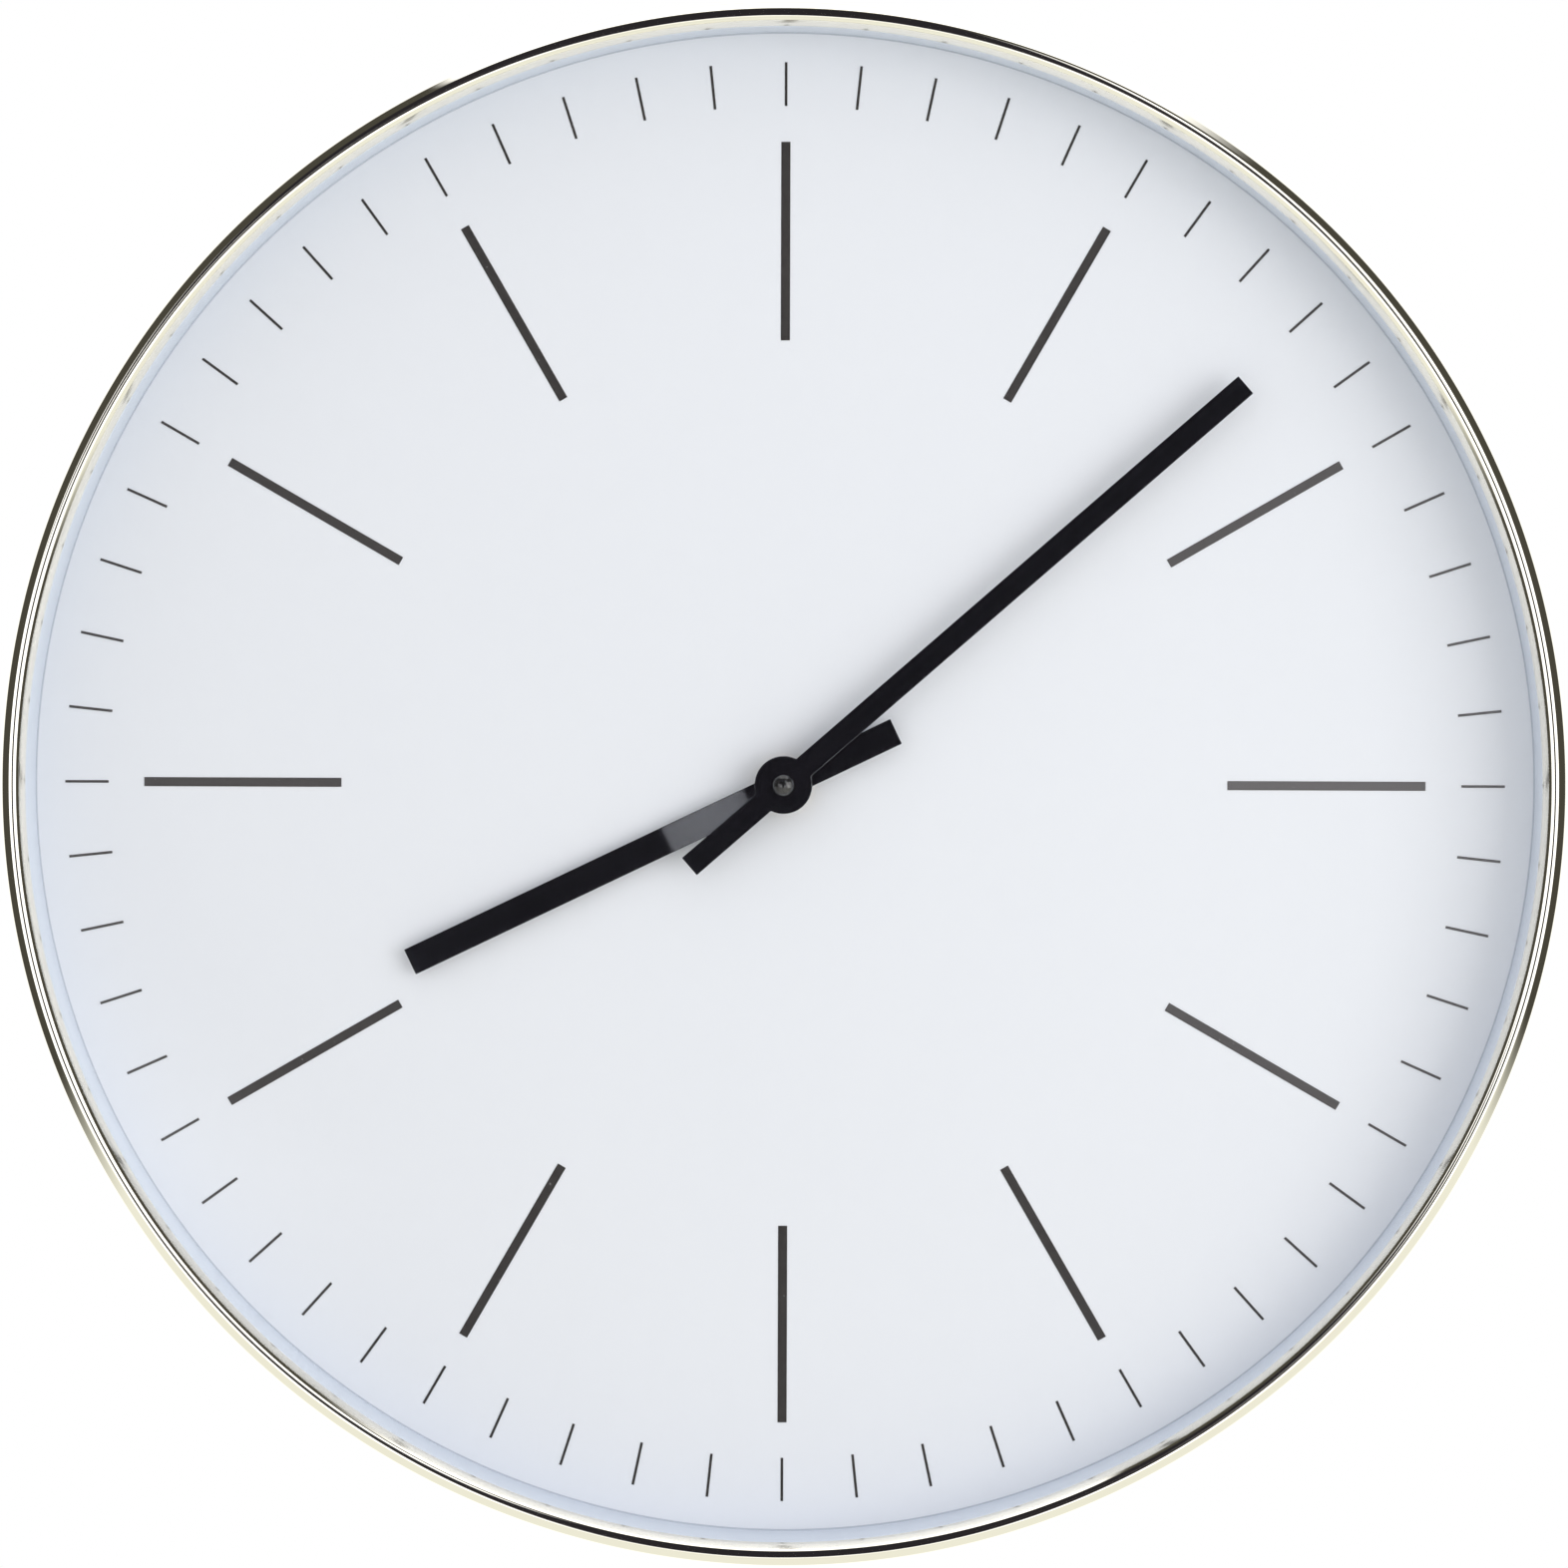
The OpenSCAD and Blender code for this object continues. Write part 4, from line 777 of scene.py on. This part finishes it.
key = bpy.data.objects.new("key", bpy.data.lights.new("key", "AREA"))
key.data.shape = "RECTANGLE"
key.data.size = 0.7
key.data.size_y = 0.7
key.data.energy = 3.7
key.data.color = (1.0, 0.99, 0.975)
key.location = (0.74, -0.75, axis_z + 0.02)
key.rotation_euler = (Vector((0, 0, axis_z)) - key.location).to_track_quat("-Z", "Y").to_euler()
key.visible_glossy = False
bpy.context.scene.collection.objects.link(key)

world = bpy.data.worlds.new("studio")
bpy.context.scene.world = world
world.use_nodes = True
sky = world.node_tree
toward = sky.nodes.new("ShaderNodeSeparateXYZ")
sky.links.new(sky.nodes.new("ShaderNodeTexCoord").outputs["Generated"], toward.inputs[0])
right, back_way, up_way = toward.outputs
front_way = calc(sky, "MULTIPLY", back_way, -1.0)
in_degrees = 180 / math.pi
polar = calc(sky, "MULTIPLY", calc(sky, "ARCCOSINE", front_way), in_degrees)
round_way = calc(sky, "MULTIPLY", calc(sky, "ARCTAN2", right, up_way), in_degrees)
height = calc(sky, "MULTIPLY", calc(sky, "ARCSINE", up_way), in_degrees)
sideways = calc(sky, "MULTIPLY", calc(sky, "ARCTAN2", right, front_way), in_degrees)


def between(value, low, high, soft):
    """1 inside a span, fading to 0 over a soft edge at each end."""
    return calc(sky, "MULTIPLY", spread(sky, value, low - soft, low + soft, 0.0, 1.0),
                spread(sky, value, high - soft, high + soft, 1.0, 0.0))


# In degrees: polar from straight ahead of the dial, round_way clockwise from above it
panel = 1.75
panels = between(polar, -5.0, 32.0, 2.0)
overhead = calc(sky, "MULTIPLY", spread(sky, round_way, -29.0, -26.0, 0.0, 1.0),
                spread(sky, round_way, 27.0, 38.0, 1.0, 0.0))
overhead = calc(sky, "MULTIPLY", overhead, spread(sky, polar, 48.0, 52.0, 0.0, 1.0))
from_floor = calc(sky, "SUBTRACT", 1.0, between(round_way, -119.0, 115.0, 6.0))
low_down = calc(sky, "MULTIPLY", from_floor, spread(sky, polar, 22.0, 26.0, 0.0, 1.0))
behind = spread(sky, polar, 106.0, 112.0, 0.0, 1.0)
# The dark camera side: a wide gap above the camera, a narrow stand below it, and the lens between
above_camera = calc(sky, "MULTIPLY", between(sideways, -26.0, 10.0, 2.5), between(height, 4.0, 42.0, 2.0))
stand = calc(sky, "MULTIPLY", spread(sky, sideways, -7.6, -3.4, 0.0, 1.0),
             spread(sky, sideways, 2.0, 5.6, 1.0, 0.0))
stand = calc(sky, "MULTIPLY", stand, between(height, -20.0, 6.0, 1.5))
camera_side = calc(sky, "MAXIMUM", above_camera, stand)
camera_side = calc(sky, "MULTIPLY", camera_side, between(polar, -5.0, 60.0, 1.0))
camera_side = calc(sky, "MAXIMUM", camera_side, spread(sky, polar, 6.0, 8.5, 1.0, 0.0))
light = blend_color(sky, panels, (0.070, 0.066, 0.052, 1), (panel, panel, panel, 1))
for mask, color in ((overhead, (panel, panel, panel * 0.98, 1)), (low_down, (0.94, 0.94, 0.83, 1)),
                    (behind, (1.25, 1.25, 1.22, 1)), (camera_side, (0.024, 0.022, 0.026, 1))):
    light = blend_color(sky, mask, light, color)
# Everything that isn't polished is lit by the even dome, which is plain white to the camera
seen = sky.nodes.new("ShaderNodeLightPath")
dome = blend_color(sky, seen.outputs["Is Camera Ray"], (1.09, 1.09, 1.10, 1), (1.0, 1.0, 1.0, 1))
surround = sky.nodes["Background"]
sky.links.new(blend_color(sky, seen.outputs["Is Glossy Ray"], dome, light), surround.inputs["Color"])
world.cycles.sampling_method = "NONE"

scene = bpy.context.scene
scene.view_settings.view_transform = "Standard"
scene.view_settings.look = "None"

# Camera. Nearly face on, 1.6 m away, a little high and a little to the right
distance = 1.6
to_right = 28 * mm
higher = 60 * mm
roll = math.radians(0.175)
aim = Vector((axis_x, -bead_at[1], axis_z))
camera = bpy.data.objects.new("camera", bpy.data.cameras.new("camera"))
camera.location = aim + Vector((to_right, bead_at[1] - distance, higher))
# The nearer half of the tilted round looks larger, so the aim goes a little past its centre
aim += Vector((0.26 * mm, 0, 0.55 * mm))
reach = (camera.location - aim).length
camera.data.sensor_width = 36.0
margin = 1.000637
camera.data.lens = camera.data.sensor_width / 2 * reach / (rim_r * margin)
facing = (aim - camera.location).to_track_quat("-Z", "Y")
camera.rotation_euler = (facing @ Quaternion((0, 0, 1), roll)).to_euler()
scene.collection.objects.link(camera)
scene.camera = camera
